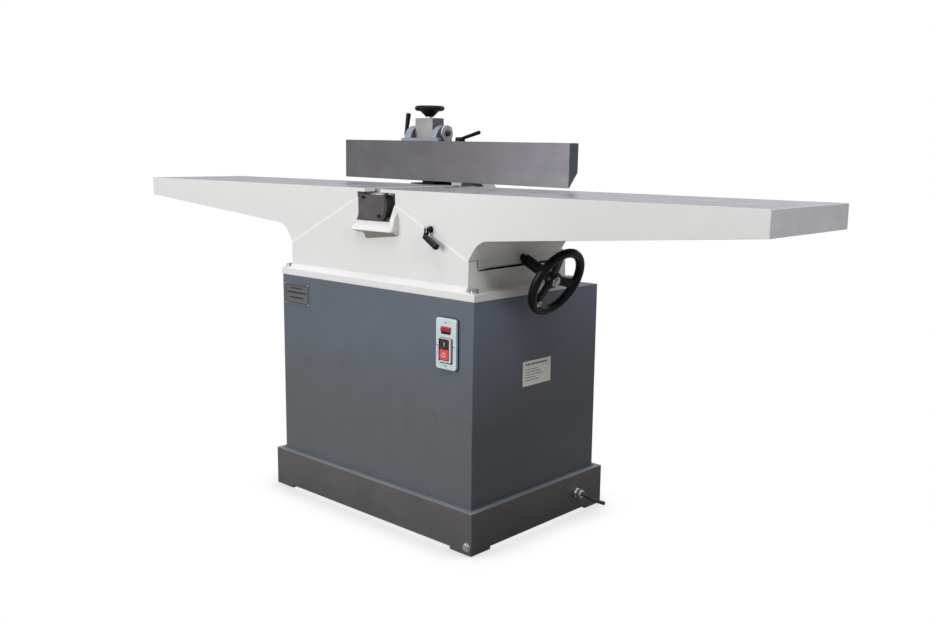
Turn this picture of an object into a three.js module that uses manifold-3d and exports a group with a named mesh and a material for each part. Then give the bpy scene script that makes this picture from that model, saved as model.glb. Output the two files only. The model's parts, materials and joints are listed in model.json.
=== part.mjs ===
// Surface planer (jointer): cabinet base, cast stand, two tables on inclined ways,
// cutterhead with belt drive, sliding and tilting fence, switch, handwheel and locks.
// Millimetres, +X along the tables towards the infeed end, +Y to the rear, +Z up.
import * as THREE from "three";
import { ConvexGeometry } from "three/addons/geometries/ConvexGeometry.js";
import { mergeVertices } from "three/addons/utils/BufferGeometryUtils.js";
import Module from "manifold-3d";

// ---- driving dimensions -------------------------------------------------
const TABLE_Z = 820; // outfeed table surface
const INFEED_DROP = 1; // infeed surface below the outfeed surface at rest
const TABLE_HALF = 1025; // half length over both tables
const TABLE_Y0 = -221.5; // front edge of the tables
const TABLE_Y1 = 110.5; // rear edge of the tables
const TABLE_END_Z = 768; // underside at the free end
const TABLE_ROOT_X = 365; // where the straight underside meets the fillet
const TABLE_ROOT_Z = 717;
const LIP_Z = 811; // underside of the table lip over the bearing housing
const INCLINE = THREE.MathUtils.degToRad(25.6); // angle of the ways
const SEAM_Z0 = 822.5; // height of the seam line extended to x = 0
const PAD_DEPTH = 15; // depth of the slide pad below the seam
const BODY_HALF = 320; // half length of the cast stand
const WAY_Y0 = -193; // inner face of the stand's front wall
const WAY_Y1 = 82; // inner face of the stand's rear wall
const BODY_Y1 = 133; // rear face of the stand
const FLANGE_Z0 = 581.3;
const FLANGE_Z1 = 600;
const CABINET_X = 348;
const CABINET_Y = 233.5;
const CABINET_Z0 = 101.3;
const CABINET_Z1 = 581;
const PLINTH_X = 365;
const PLINTH_Y = 250.5;
const PLINTH_Z = 101;
const HEAD_Z = 778; // cutterhead axis height
const CUT_R = 42; // cutting radius
const HEAD_R = 40.5; // cutterhead body radius
const HOUSING_R = 50; // round of the front bearing housing
const MOTOR_Z = 260; // motor axis height
const CUTTER_PULLEY_R = 35;
const MOTOR_PULLEY_R = 60;
const BELT_Y0 = 157.6;
const BELT_Y1 = 172.4;
const WHEEL_X = 423; // handwheel centre
const WHEEL_Y = -33;
const WHEEL_Z = 616.4;
const RIM_R = 76.4; // centre line of the rim
const RIM = 10.5; // rim section radius
const FENCE_X0 = -465;
const FENCE_X1 = 357;
const FENCE_Y0 = 88;
const FENCE_Y1 = 123;
const FENCE_Z0 = 829; // lower edge at mid length
const FENCE_LEAN = 0.54; // degrees the fence rises towards its outfeed end
const FENCE_Z1 = 936.4;
const PIN_Y = 160; // fence tilt pin
const PIN_Z = 958;
const EAR_R = 41; // round of the bracket ears
const BLOCK_X0 = -224.7;
const BLOCK_X1 = -156.3;
const BAR_Z0 = 832;
const BAR_Z1 = 852;
const LOCK_X = 202; // infeed table lock
const LOCK_Z = 733.8;
const PLATE_X = 271.7; // switch plate centre
const PLATE_Z = 479.5;
const GAP = 0.3;

const TAN = Math.tan(INCLINE);
const COS = Math.cos(INCLINE);
const SIN = Math.sin(INCLINE);

// ---- geometry helpers ---------------------------------------------------
const wasm = await Module();
wasm.setup();

function bare(geometry) {
  const g = geometry.index ? geometry.toNonIndexed() : geometry;
  const only = new THREE.BufferGeometry().setAttribute(
    "position",
    g.getAttribute("position"),
  );
  return mergeVertices(only, 1e-4);
}

function toSolid(g) {
  return new wasm.Manifold(
    new wasm.Mesh({
      numProp: 3,
      vertProperties: new Float32Array(g.attributes.position.array),
      triVerts: new Uint32Array(g.index.array),
    }),
  );
}

function fromSolid(s) {
  const m = s.getMesh();
  const n = m.numProp;
  const v = new Float32Array(m.numVert * 3);
  for (let i = 0; i < m.numVert; i++)
    v.set(m.vertProperties.subarray(i * n, i * n + 3), i * 3);
  return new THREE.BufferGeometry()
    .setAttribute("position", new THREE.BufferAttribute(v, 3))
    .setIndex(new THREE.BufferAttribute(new Uint32Array(m.triVerts), 1));
}

const join = (...parts) =>
  fromSolid(parts.map(toSolid).reduce((a, b) => a.add(b)));
const cut = (body, ...tools) =>
  fromSolid(tools.map(toSolid).reduce((a, b) => a.subtract(b), toSolid(body)));

function moved(g, x = 0, y = 0, z = 0) {
  return g.clone().translate(x, y, z);
}

// Mirror across the plane x = 0, keeping the faces turned outwards.
function mirrored(g) {
  const m = g.clone().scale(-1, 1, 1);
  const i = m.index.array;
  for (let k = 0; k < i.length; k += 3) [i[k + 1], i[k + 2]] = [i[k + 2], i[k + 1]];
  return m;
}

function box(x0, x1, y0, y1, z0, z1) {
  return bare(new THREE.BoxGeometry(x1 - x0, y1 - y0, z1 - z0)).translate(
    (x0 + x1) / 2,
    (y0 + y1) / 2,
    (z0 + z1) / 2,
  );
}

const cylinder = (r, length, n) =>
  bare(new THREE.CylinderGeometry(r, r, length, n));
const cylX = (r, x0, x1, y, z, n = 20) =>
  cylinder(r, x1 - x0, n).rotateZ(-Math.PI / 2).translate((x0 + x1) / 2, y, z);
const cylY = (r, y0, y1, x, z, n = 20) =>
  cylinder(r, y1 - y0, n).translate(x, (y0 + y1) / 2, z);
const cylZ = (r, z0, z1, x, y, n = 20) =>
  cylinder(r, z1 - z0, n).rotateX(Math.PI / 2).translate(x, y, (z0 + z1) / 2);

function shape(points) {
  return new THREE.Shape(points.map(([u, v]) => new THREE.Vector2(u, v)));
}

function extrude(outline, depth) {
  return bare(
    new THREE.ExtrudeGeometry(outline, {
      depth,
      bevelEnabled: false,
      curveSegments: 6,
      steps: 1,
    }),
  );
}

// Prisms: the outline lies in xz, yz or xy and is drawn out along the third axis.
const TO_X = new THREE.Matrix4().set(0, 0, 1, 0, 1, 0, 0, 0, 0, 1, 0, 0, 0, 0, 0, 1);
const outlineOf = (o) => (Array.isArray(o) ? shape(o) : o);
const prismY = (o, y0, y1) =>
  extrude(outlineOf(o), y1 - y0).rotateX(Math.PI / 2).translate(0, y1, 0);
const prismX = (o, x0, x1) =>
  extrude(outlineOf(o), x1 - x0).applyMatrix4(TO_X).translate(x0, 0, 0);
const prismZ = (o, z0, z1) => extrude(outlineOf(o), z1 - z0).translate(0, 0, z0);

function arc(cu, cv, r, a0, a1, n) {
  const pts = [];
  for (let i = 0; i <= n; i++) {
    const a = THREE.MathUtils.degToRad(a0 + ((a1 - a0) * i) / n);
    pts.push([cu + r * Math.cos(a), cv + r * Math.sin(a)]);
  }
  return pts;
}

function roundedRect(u0, u1, v0, v1, r, n = 4) {
  return [
    ...arc(u1 - r, v0 + r, r, -90, 0, n),
    ...arc(u1 - r, v1 - r, r, 0, 90, n),
    ...arc(u0 + r, v1 - r, r, 90, 180, n),
    ...arc(u0 + r, v0 + r, r, 180, 270, n),
  ];
}

// Solid of revolution about +Z from [radius, height] points that start and end on the axis.
function turned(points, n = 24) {
  return bare(
    new THREE.LatheGeometry(
      points.map(([r, h]) => new THREE.Vector2(r, h)),
      n,
    ),
  ).rotateX(Math.PI / 2);
}

// The same, as a ring whose closed profile stays off the axis.
function ring(points, n = 24) {
  return turned([...points, points[0]], n);
}

const hexagon = (r) => arc(0, 0, r, 0, 300, 5);

// Puts a shape built along +Z at a point with its own axis along a direction.
function aimed(g, from, direction, up) {
  const z = new THREE.Vector3(...direction).normalize();
  const x = up
    ? new THREE.Vector3(...up).addScaledVector(z, -new THREE.Vector3(...up).dot(z)).normalize()
    : new THREE.Vector3(0, 1, 0).cross(z).normalize();
  const y = z.clone().cross(x);
  return g
    .clone()
    .applyMatrix4(new THREE.Matrix4().makeBasis(x, y, z).setPosition(...from));
}

function rod(from, to, r0, r1, n = 14) {
  const a = new THREE.Vector3(...from);
  const b = new THREE.Vector3(...to);
  const l = a.distanceTo(b);
  return aimed(
    turned([[0, 0], [r0, 0], [r1, l], [0, l]], n),
    from,
    b.clone().sub(a).toArray(),
    Math.abs(b.z - a.z) > 0.9 * l ? [1, 0, 0] : [0, 0, 1],
  );
}

// Height of the seam line at x, moved square to the ways by "off".
const seam = (x, off = 0) => SEAM_Z0 - TAN * Math.abs(x) + off / COS;

// ---- materials ----------------------------------------------------------
const M = (color, roughness, metalness = 0) =>
  new THREE.MeshStandardMaterial({ color, roughness, metalness });
const WHITE = M(0xdededc, 0.45);
const BLUE_GREY = M(0x585d66, 0.5);
const DARK_PLINTH = M(0x4b4b4e, 0.55);
const GROUND = M(0xa5a5b4, 0.35, 0.9);
const FENCE = M(0x69676a, 0.45, 0.6);
const CAST_GREY = M(0xa4aab2, 0.5, 0.5);
const HEAD_GREY = M(0x5a565b, 0.5, 0.5);
const STEEL = M(0xb0b0b2, 0.3, 1);
const DARK_STEEL = M(0x3c3c40, 0.4, 0.8);
const BLACK = M(0x141416, 0.4);
const RUBBER = M(0x17171a, 0.8);
const MOTOR = M(0x3f5f6a, 0.5, 0.2);
const PLATE = M(0xc9d6e2, 0.35, 0.5);
const CREAM = M(0xd9d2c4, 0.5);
const RED = M(0xd6383f, 0.35);
const GREEN_BLACK = M(0x26302e, 0.35);
const LAMP = M(0xcf4a35, 0.25);
const BRASS = M(0xa9875a, 0.4, 0.9);

const machine = new THREE.Group();
function piece(name, geometry, material) {
  const g = geometry.toNonIndexed();
  g.computeVertexNormals();
  const mesh = new THREE.Mesh(g, material);
  mesh.name = name;
  machine.add(mesh);
  return mesh;
}

// ---- plinth and cabinet -------------------------------------------------
piece(
  "plinth",
  join(
    cut(
      box(-PLINTH_X, PLINTH_X, -PLINTH_Y, PLINTH_Y, 0, PLINTH_Z),
      box(-PLINTH_X + 5, PLINTH_X - 5, -PLINTH_Y + 5, PLINTH_Y - 5, -1, PLINTH_Z - 5),
      box(-PLINTH_X + 68, PLINTH_X - 68, -PLINTH_Y - 1, PLINTH_Y + 1, -1, 7),
      box(-PLINTH_X - 1, PLINTH_X + 1, -PLINTH_Y + 66, PLINTH_Y - 66, -1, 7),
      box(-280, 280, -170, 170, 50, PLINTH_Z + 1),
    ),
    // foot pads in the corners
    ...[-1, 1].flatMap((sx) =>
      [-1, 1].map((sy) =>
        box(
          Math.min(sx * (PLINTH_X - 68), sx * (PLINTH_X - 4)),
          Math.max(sx * (PLINTH_X - 68), sx * (PLINTH_X - 4)),
          Math.min(sy * (PLINTH_Y - 66), sy * (PLINTH_Y - 4)),
          Math.max(sy * (PLINTH_Y - 66), sy * (PLINTH_Y - 4)),
          0,
          8,
        ),
      ),
    ),
  ),
  DARK_PLINTH,
);

const BOLT_X = 335;
const BOLT_YS = [-217, 127];
const CHUTE_Y = -40;
const CHUTE_Z = 440;
piece(
  "cabinet_shell",
  cut(
    prismZ(roundedRect(-CABINET_X, CABINET_X, -CABINET_Y, CABINET_Y, 4, 3), CABINET_Z0, CABINET_Z1),
    box(-CABINET_X + 3, CABINET_X - 3, -CABINET_Y + 3, CABINET_Y - 3, CABINET_Z0 + 3, CABINET_Z1 - 3),
    box(-280, 280, -170, 170, 100, 110), // floor opening
    box(-290, 290, -190, 105, 570, 590), // opening under the stand
    box(-62, 62, 148, 196, 570, 590), // belt opening
    box(-200, 200, 225, 240, 155, 515), // opening behind the rear panel
    box(PLATE_X - 22, PLATE_X + 22, -240, -228, PLATE_Z - 50, PLATE_Z + 45), // switch opening
    cylX(50.6, -360, -340, CHUTE_Y, CHUTE_Z, 24),
    ...[-1, 1].flatMap((s) => BOLT_YS.map((y) => cylZ(6.8, 570, 590, s * BOLT_X, y, 12))),
  ),
  BLUE_GREY,
);

piece(
  "rear_access_panel",
  cut(
    prismY(roundedRect(-215, 215, 140, 530, 10, 3), CABINET_Y + GAP, CABINET_Y + 2.3),
    ...[0, 1, 2, 3, 4, 5].map((i) => box(-90, 90, 230, 240, 220 + 18 * i, 227 + 18 * i)),
  ),
  BLUE_GREY,
);

// ---- cast stand ---------------------------------------------------------
{
  const inclined = (off, inner) => [
    [-BODY_HALF, 590],
    [BODY_HALF, 590],
    [BODY_HALF, seam(BODY_HALF, off)],
    [inner, seam(inner, off)],
    [-inner, seam(inner, off)],
    [-BODY_HALF, seam(BODY_HALF, off)],
  ];
  const front = [
    [-BODY_HALF, 590],
    [BODY_HALF, 590],
    [BODY_HALF, seam(BODY_HALF, -GAP)],
    [80, seam(80, -GAP)],
    [61, 742],
    [-57, 742],
    [-50, 757],
    [-50, seam(50, -GAP)],
    [-BODY_HALF, seam(BODY_HALF, -GAP)],
  ];
  const rear = [
    [-BODY_HALF, 590],
    [BODY_HALF, 590],
    [BODY_HALF, seam(BODY_HALF, -GAP)],
    [58, seam(58, -GAP)],
    [58, 733],
    [-58, 733],
    [-58, seam(58, -GAP)],
    [-BODY_HALF, seam(BODY_HALF, -GAP)],
  ];
  const body = join(
    box(-350, 350, -CABINET_Y, 140, FLANGE_Z0, FLANGE_Z1),
    prismX([[-CABINET_Y, 599], [-CABINET_Y, 600], [TABLE_Y0, 613], [TABLE_Y0 + 2, 599]], -BODY_HALF, BODY_HALF),
    prismY(front, TABLE_Y0, WAY_Y0),
    prismY(inclined(-PAD_DEPTH - 0.4, 40), WAY_Y0 - 1, WAY_Y1 + 1),
    prismY(rear, WAY_Y1, BODY_Y1),
    // chip lip under the bearing housing: sloping apron, drafted web below it and a gusset
    prismX([[TABLE_Y0 + 1, 741], [TABLE_Y0, 741], [-236.5, 723], [-237.5, 719], [TABLE_Y0, 714], [TABLE_Y0 + 1, 714]], -58, 92),
    bare(
      new ConvexGeometry(
        [
          [-22, TABLE_Y0 + 1, 735],
          [91.8, TABLE_Y0 + 1, 735],
          [-20, -236, 722],
          [91.8, -236, 722],
          [-18, -236.6, 719.3],
          [91.8, -236.6, 719.3],
          [-23, TABLE_Y0 + 1, 697.5],
          [91.8, TABLE_Y0 + 1, 710],
        ].map((p) => new THREE.Vector3(...p)),
      ),
    ),
    prismX([[TABLE_Y0 + 1, 766], [TABLE_Y0, 766], [-235, 752], [-237.5, 723], [-237.5, 719], [TABLE_Y0, 710], [TABLE_Y0 + 1, 710]], 80, 92),
  );
  const inside = [
    [-306, 570],
    [306, 570],
    [306, seam(306, -28)],
    [62, seam(190, -28)],
    [-50, seam(190, -28)],
    [-306, seam(306, -28)],
  ];
  const hollow = [
    [-306, 570],
    [306, 570],
    [306, seam(306, -28)],
    [120, seam(120, -28)],
    [120, 570 + 1],
    [-120, 570 + 1],
    [-120, seam(120, -28)],
    [-306, seam(306, -28)],
  ];
  piece(
    "base_casting",
    cut(
      body,
      prismY(inside, -207, 119),
      prismY(hollow, -207, 119),
      box(-50, 62, -194.5, 108, 680, 850), // chip throat under the cutterhead
      box(BODY_HALF - 3, BODY_HALF + 5, WAY_Y0, 105, 606, 652), // recessed end faces
      box(-BODY_HALF - 5, -BODY_HALF + 3, WAY_Y0, 105, 606, 652),
      ...[-1, 1].flatMap((s) => BOLT_YS.map((y) => cylZ(6.6, 570, 610, s * BOLT_X, y, 12))),
      ...[-215, -165].map((x) => cylY(5.4, 110, 140, x, 660, 12)),
      ...[-40, 40].map((x) => cylY(3.2, 110, 140, x, 742, 10)),
    ),
    WHITE,
  );
}

[-1, 1].forEach((s, i) =>
  BOLT_YS.forEach((y, j) =>
    piece(
      "base_bolt_" + (2 * i + j + 1),
      join(
        cylZ(11.5, FLANGE_Z1 + GAP, FLANGE_Z1 + 2.5, s * BOLT_X, y, 16),
        moved(prismZ(hexagon(10.5), FLANGE_Z1 + 2.4, FLANGE_Z1 + 10), s * BOLT_X, y, 0),
        cylZ(6, 566, FLANGE_Z1 + 1, s * BOLT_X, y, 12),
      ),
      STEEL,
    ),
  ),
);

// ---- cutterhead and its bearings ---------------------------------------
const housingOutline = (r, x0, z0, z1) => {
  const a1 = THREE.MathUtils.radToDeg(Math.asin((z1 - HEAD_Z) / r));
  const a0 = THREE.MathUtils.radToDeg(Math.asin((z0 - HEAD_Z) / r));
  return [[x0, z0], ...arc(0, HEAD_Z, r, a0, a1, 10), [x0, z1]];
};
const COVER_SCREWS = [
  [-29, 799],
  [27.5, 755],
];
piece(
  "front_bearing_housing",
  cut(
    join(
      prismY(housingOutline(HOUSING_R - 1.5, -49.4, 742.4, 804.6), -215.6, -194),
      box(-49.4, 60, -213, -196, 742.4, 752),
    ),
    cylY(31.3, -212.5, -190, 0, HEAD_Z, 32),
    ...COVER_SCREWS.map(([x, z]) => cylY(2.8, -220, -204, x, z, 8)),
  ),
  HEAD_GREY,
);
piece(
  "front_bearing_cover",
  cut(
    join(
      prismY(housingOutline(HOUSING_R, -49.4, 742.6, 805), -220.8, -215.9),
      prismY(housingOutline(HOUSING_R - 4, -46, 745, 803), -223, -220.7),
    ),
    ...COVER_SCREWS.map(([x, z]) => cylY(2.8, -226, -210, x, z, 8)),
  ),
  HEAD_GREY,
);
COVER_SCREWS.forEach(([x, z], i) =>
  piece(
    "cover_screw_" + (i + 1),
    cut(
      join(cylY(4.8, -228, -223.3, x, z, 14), cylY(2.5, -224, -206, x, z, 8)),
      moved(prismY(hexagon(2.4), -229, -225.5), x, 0, z),
    ),
    DARK_STEEL,
  ),
);
const bearing = (y0, y1) =>
  aimed(
    ring([[15.3, 0], [20, 0], [21, 1.2], [25, 1.2], [26, 0], [31, 0], [31, y1 - y0], [15.3, y1 - y0]], 20),
    [0, y0, HEAD_Z],
    [0, 1, 0],
    [0, 0, 1],
  );
piece("front_bearing", bearing(-212.2, -196), STEEL);
piece(
  "rear_bearing_housing",
  cut(
    join(
      cylY(43, 110.9 + 2, 141, 0, HEAD_Z, 32),
      prismY([[-57.5, 733.3], [57.5, 733.3], [57.5, 752], [40, 765], [-40, 765], [-57.5, 752]], 110.9 + 2, 139),
    ),
    cylY(31.3, 116, 150, 0, HEAD_Z, 32),
    cylY(17, 100, 150, 0, HEAD_Z, 20),
  ),
  HEAD_GREY,
);
piece("rear_bearing", bearing(116.3, 134), STEEL);

const KNIFE_ANGLES = [30, 150, 270];
const around = (g, degrees) =>
  g
    .clone()
    .translate(0, 0, -HEAD_Z)
    .rotateY(THREE.MathUtils.degToRad(degrees))
    .translate(0, 0, HEAD_Z);
piece(
  "cutterhead",
  cut(
    join(
      cylY(HEAD_R, -188, 107, 0, HEAD_Z, 36),
      cylY(15, -211.8, 186, 0, HEAD_Z, 20),
      cylY(20, -193, 111, 0, HEAD_Z, 20),
    ),
    ...KNIFE_ANGLES.map((a) => around(box(-7, 7, -189, 108, HEAD_Z + 22, HEAD_Z + 50), a)),
  ),
  STEEL,
);
KNIFE_ANGLES.forEach((a, i) => {
  piece(
    "knife_" + (i + 1),
    around(
      prismY(
        [[-6.7, HEAD_Z + 22.3], [-3.7, HEAD_Z + 22.3], [-3.7, HEAD_Z + 39.8], [-6.7, HEAD_Z + Math.sqrt(CUT_R * CUT_R - 6.7 * 6.7)]],
        -187.5,
        106.5,
      ),
      a,
    ),
    STEEL,
  );
  piece(
    "knife_wedge_" + (i + 1),
    around(
      prismY(
        [[-3.4, HEAD_Z + 22.3], [6.7, HEAD_Z + 22.3], [6.7, HEAD_Z + 37], [2, HEAD_Z + 34], [-3.4, HEAD_Z + 36]],
        -186,
        105,
      ),
      a,
    ),
    DARK_STEEL,
  );
});

// ---- belt drive ---------------------------------------------------------
const pulley = (r, bore, n) =>
  aimed(
    ring([[bore, 0], [r, 0], [r, 7], [r - 8, 7.4], [r - 8, 22.6], [r, 23], [r, 30], [bore, 30]], n),
    [0, 150, 0],
    [0, 1, 0],
    [0, 0, 1],
  );
piece("cutterhead_pulley", moved(pulley(CUTTER_PULLEY_R, 15.3, 24), 0, 0, HEAD_Z), CAST_GREY);
piece("motor_pulley", moved(pulley(MOTOR_PULLEY_R, 14.3, 28), 0, 0, MOTOR_Z), CAST_GREY);
{
  const loop = (grow) => {
    const r = CUTTER_PULLEY_R - 8 + grow;
    const R = MOTOR_PULLEY_R - 8 + grow;
    const b = Math.acos((R - r) / (HEAD_Z - MOTOR_Z));
    const pts = [];
    for (let i = 0; i <= 14; i++) {
      const a = -b + (2 * b * i) / 14;
      pts.push([r * Math.sin(a), HEAD_Z + r * Math.cos(a)]);
    }
    for (let i = 0; i <= 18; i++) {
      const a = b + ((2 * Math.PI - 2 * b) * i) / 18;
      pts.push([R * Math.sin(a), MOTOR_Z + R * Math.cos(a)]);
    }
    return pts;
  };
  const outline = shape(loop(8.4));
  outline.holes.push(shape(loop(0.9).reverse()));
  piece("drive_belt", prismY(outline, BELT_Y0, BELT_Y1), RUBBER);
}
piece(
  "belt_guard",
  cut(
    join(
      prismY([[-56, 582], [56, 582], [56, 790], [19.4, 830], [-56, 830]], 146, 194),
      prismZ(roundedRect(-72, 72, 144, 206, 6, 2), 581.3, 583.5),
    ),
    prismY([[-53, 570], [53, 570], [53, 788.8], [18, 827], [-53, 827]], 148.5, 191.5),
    cylY(19, 140, 150, 0, HEAD_Z, 20),
  ),
  BLUE_GREY,
);
piece(
  "motor_body",
  cut(
    join(
      cylY(80, -60, 128, 0, MOTOR_Z, 28),
      cylY(86, -52, -44, 0, MOTOR_Z, 28),
      cylY(86, 112, 120, 0, MOTOR_Z, 28),
      ...[30, 60, 120, 150, 210, 330].map((a) =>
        prismY([[78, -1.5], [86, -1.5], [86, 1.5], [78, 1.5]], -44, 112)
          .rotateY(-THREE.MathUtils.degToRad(a))
          .translate(0, 0, MOTOR_Z),
      ),
      box(-72, 72, -30, 98, 172.3, 188),
      box(60, 112, 0, 76, 290, 345), // terminal box
    ),
    cylY(46.5, -45, 115, 0, MOTOR_Z, 20),
    cylY(14.5, -70, 140, 0, MOTOR_Z, 20),
  ),
  MOTOR,
);
piece(
  "motor_rotor",
  join(cylY(14, -58, 184, 0, MOTOR_Z, 20), cylY(45.5, -36, 106, 0, MOTOR_Z, 20)),
  STEEL,
);
piece(
  "motor_mount",
  cut(
    box(-310, 310, -40, 108, 104.6, 172),
    box(-302, 302, -50, 120, 110, 164),
    box(-270, 270, -50, 120, 90, 112),
    ...[-55, 55].map((x) => box(x - 5, x + 5, -10, 78, 160, 180)),
  ),
  DARK_STEEL,
);

// ---- chip chute ---------------------------------------------------------
piece(
  "chip_chute",
  cut(
    join(
      prismY([[-150, 630], [150, 630], [150, 560], [-150, 378], [-336, 378], [-336, 502], [-262, 502], [-150, 560]], -160, 80),
      cylX(50, -376, -330, CHUTE_Y, CHUTE_Z, 24),
      cylX(62, -351.5, -348.3, CHUTE_Y, CHUTE_Z, 24),
    ),
    prismY([[-147, 640], [147, 640], [147, 561.8], [-150.8, 381], [-333, 381], [-333, 499], [-261.3, 499], [-147, 558.2]], -157, 77),
    cylX(47, -380, -330, CHUTE_Y, CHUTE_Z, 24),
  ),
  DARK_STEEL,
);

// ---- tables -------------------------------------------------------------
// Direction of the right-hand ways, outwards and down, and a frame on the screw axis.
const ALONG = [COS, 0, -SIN];
const UPWARD = [SIN, 0, COS];
const SCREW_H = WHEEL_X * SIN + (WHEEL_Z - SEAM_Z0) * COS;
const SCREW_ORIGIN = [SCREW_H * SIN, WHEEL_Y, SEAM_Z0 + SCREW_H * COS];
// local axes with UPWARD: x = up from the ways, y = towards the front, z = along
const localBox = (h0, h1, y0, y1, s0, s1) =>
  aimed(box(h0, h1, -y1, -y0, s0, s1), [0, 0, SEAM_Z0], ALONG, UPWARD);
const onScrew = (g) => aimed(g, SCREW_ORIGIN, ALONG, UPWARD);

// Built on the infeed side; the outfeed table is the mirror with its own lip and height.
function table({ top, lip, notch, bores = [] }) {
  const outline = (x0, inner, off) => {
    const pts = [
      [x0, top],
      [TABLE_HALF, top],
      [TABLE_HALF, TABLE_END_Z],
      [TABLE_ROOT_X, TABLE_ROOT_Z],
      [348, 708],
      [337, 697],
      [BODY_HALF, seam(BODY_HALF, 0.33) + 2],
      [BODY_HALF, seam(BODY_HALF, off)],
      [inner, seam(inner, off)],
    ];
    if (inner > x0) pts.push([inner, LIP_Z], [x0, LIP_Z]);
    return pts.reverse();
  };
  const pocket = (x0, x1, y0, y1) => box(x0, x1, y0, y1, 600, 806.5);
  return cut(
    join(
      prismY(outline(lip, notch, 0.33), TABLE_Y0, -187.5),
      prismY(outline(lip, 49, -PAD_DEPTH), -188, 81.5),
      prismY(outline(lip, 49, 0.33), 81.2, TABLE_Y1),
    ),
    pocket(378, 576, -207, -62),
    pocket(378, 576, -50, 97),
    pocket(588, 796, -207, -62),
    pocket(588, 796, -50, 97),
    pocket(808, 1011, -207, -62),
    pocket(808, 1011, -50, 97),
    box(118, 300, -150, -58, 600, 792), // hollows between the ways
    box(118, 300, -6, 56, 600, 792),
    cylY(48, -189, 120, 0, HEAD_Z, 48),
    localBox(-30, 12, WHEEL_Y - 15, WHEEL_Y + 15, 118, 340), // slot over the screw
    onScrew(cylinder(9.4, 80, 16).rotateX(Math.PI / 2).translate(0, 0, 350)),
    ...bores,
  );
}
piece(
  "infeed_table",
  table({
    top: TABLE_Z - INFEED_DROP,
    lip: 30,
    notch: 82,
    bores: [cylY(4.4, TABLE_Y0 - 1, -195, LOCK_X, LOCK_Z, 14)],
  }),
  WHITE,
);
piece(
  "outfeed_table",
  mirrored(table({ top: TABLE_Z, lip: 26, notch: 53.5 })),
  WHITE,
);

const gib = localBox(-14.6, -1, WAY_Y0 + 0.4, -188.4, 118, 345);
piece("infeed_gib", gib, BRASS);
piece("outfeed_gib", mirrored(gib), BRASS);

const nutBlock = cut(
  localBox(-15, 8.5, WHEEL_Y - 13, WHEEL_Y + 13, 200, 226),
  onScrew(cylinder(8.4, 80, 16).rotateX(Math.PI / 2).translate(0, 0, 213)),
);
piece("infeed_nut", nutBlock, BRASS);
piece("outfeed_nut", mirrored(nutBlock), BRASS);

// ---- handwheel and adjusting screws ------------------------------------
const T_END = (BODY_HALF - WHEEL_X) / COS; // where the axis crosses the end face, from the wheel
const onWheel = (g) => aimed(g, [WHEEL_X, WHEEL_Y, WHEEL_Z], ALONG, UPWARD);
piece(
  "infeed_screw",
  onWheel(
    turned([[0, -330], [6.8, -330], [8, -327], [8, T_END + 6.6], [12.4, T_END + 8.8], [13.5, T_END + 10.6], [13.5, -24.3], [9.6, -24.3], [9.6, -4.2], [0, -4.2]], 18),
  ),
  BLACK,
);
piece(
  "outfeed_screw",
  mirrored(
    onWheel(
      join(
        turned([[0, -330], [6.8, -330], [8, -327], [8, T_END + 11], [13.5, T_END + 11], [13.5, T_END + 18], [0, T_END + 18]], 18),
        prismZ(hexagon(10), T_END + 17, T_END + 29),
      ),
    ),
  ),
  STEEL,
);
{
  // dished wheel: the hub sits behind the plane of the rim
  const rim = bare(new THREE.TorusGeometry(RIM_R, RIM, 8, 32)).translate(0, 0, -1.5);
  const spoke = (degrees) =>
    prismY([[13, -19], [RIM_R - 14, -9], [RIM_R - 4, -9], [RIM_R - 4, 2], [RIM_R - 14, 2], [13, -7]], -12.5, 12.5).rotateZ(
      THREE.MathUtils.degToRad(degrees),
    );
  // angles are measured from +Y towards up; local x is up and local y is to the front
  const angles = [-129.5, -9.5, 110.5].map((a) => a - 90);
  const bushAngle = THREE.MathUtils.degToRad(angles[0]);
  const BUSH_R = 66;
  const bx = BUSH_R * Math.cos(bushAngle);
  const by = BUSH_R * Math.sin(bushAngle);
  piece(
    "handwheel",
    onWheel(
      cut(
        join(
          rim,
          ...angles.map(spoke),
          turned([[0, -24], [17, -24], [20.5, -18], [20.5, -7], [18, -4], [0, -4]], 24),
          turned([[0, -8], [10, -8], [10.5, 5], [0, 5]], 16).translate(bx, by, 0),
        ),
        cylinder(10, 70, 20).rotateX(Math.PI / 2).translate(0, 0, -10),
        cylinder(6.3, 40, 16).rotateX(Math.PI / 2).translate(bx, by, 0),
        cylinder(8.2, 20, 16).rotateX(Math.PI / 2).translate(bx, by, 15.1), // spot face for the bush
      ),
    ),
    BLACK,
  );
  piece(
    "handle_bush",
    onWheel(ring([[3.6, -7.5], [6, -7.5], [6, 5.2], [7.6, 5.3], [7.6, 6.4], [3.6, 6.4]], 16).translate(bx, by, 0)),
    STEEL,
  );
  piece(
    "handwheel_nut",
    onWheel(
      join(
        turned([[0, -3.7], [12.4, -3.7], [12.4, -1.9], [0, -1.9]], 20),
        prismZ(hexagon(9), -2.1, 3.2),
      ),
    ),
    STEEL,
  );
}

// ---- infeed table lock --------------------------------------------------
piece(
  "infeed_lock_lever",
  join(
    cylY(4, -225, -196, LOCK_X, LOCK_Z, 14),
    cylY(8.5, -238, TABLE_Y0 - GAP, LOCK_X, LOCK_Z, 18),
    rod([LOCK_X, -233, LOCK_Z], [199, -236, 717], 6, 5.4, 12),
    rod([197, -236.5, 718], [236, -241, 697.5], 6.4, 7.6, 14),
  ),
  BLACK,
);

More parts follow.
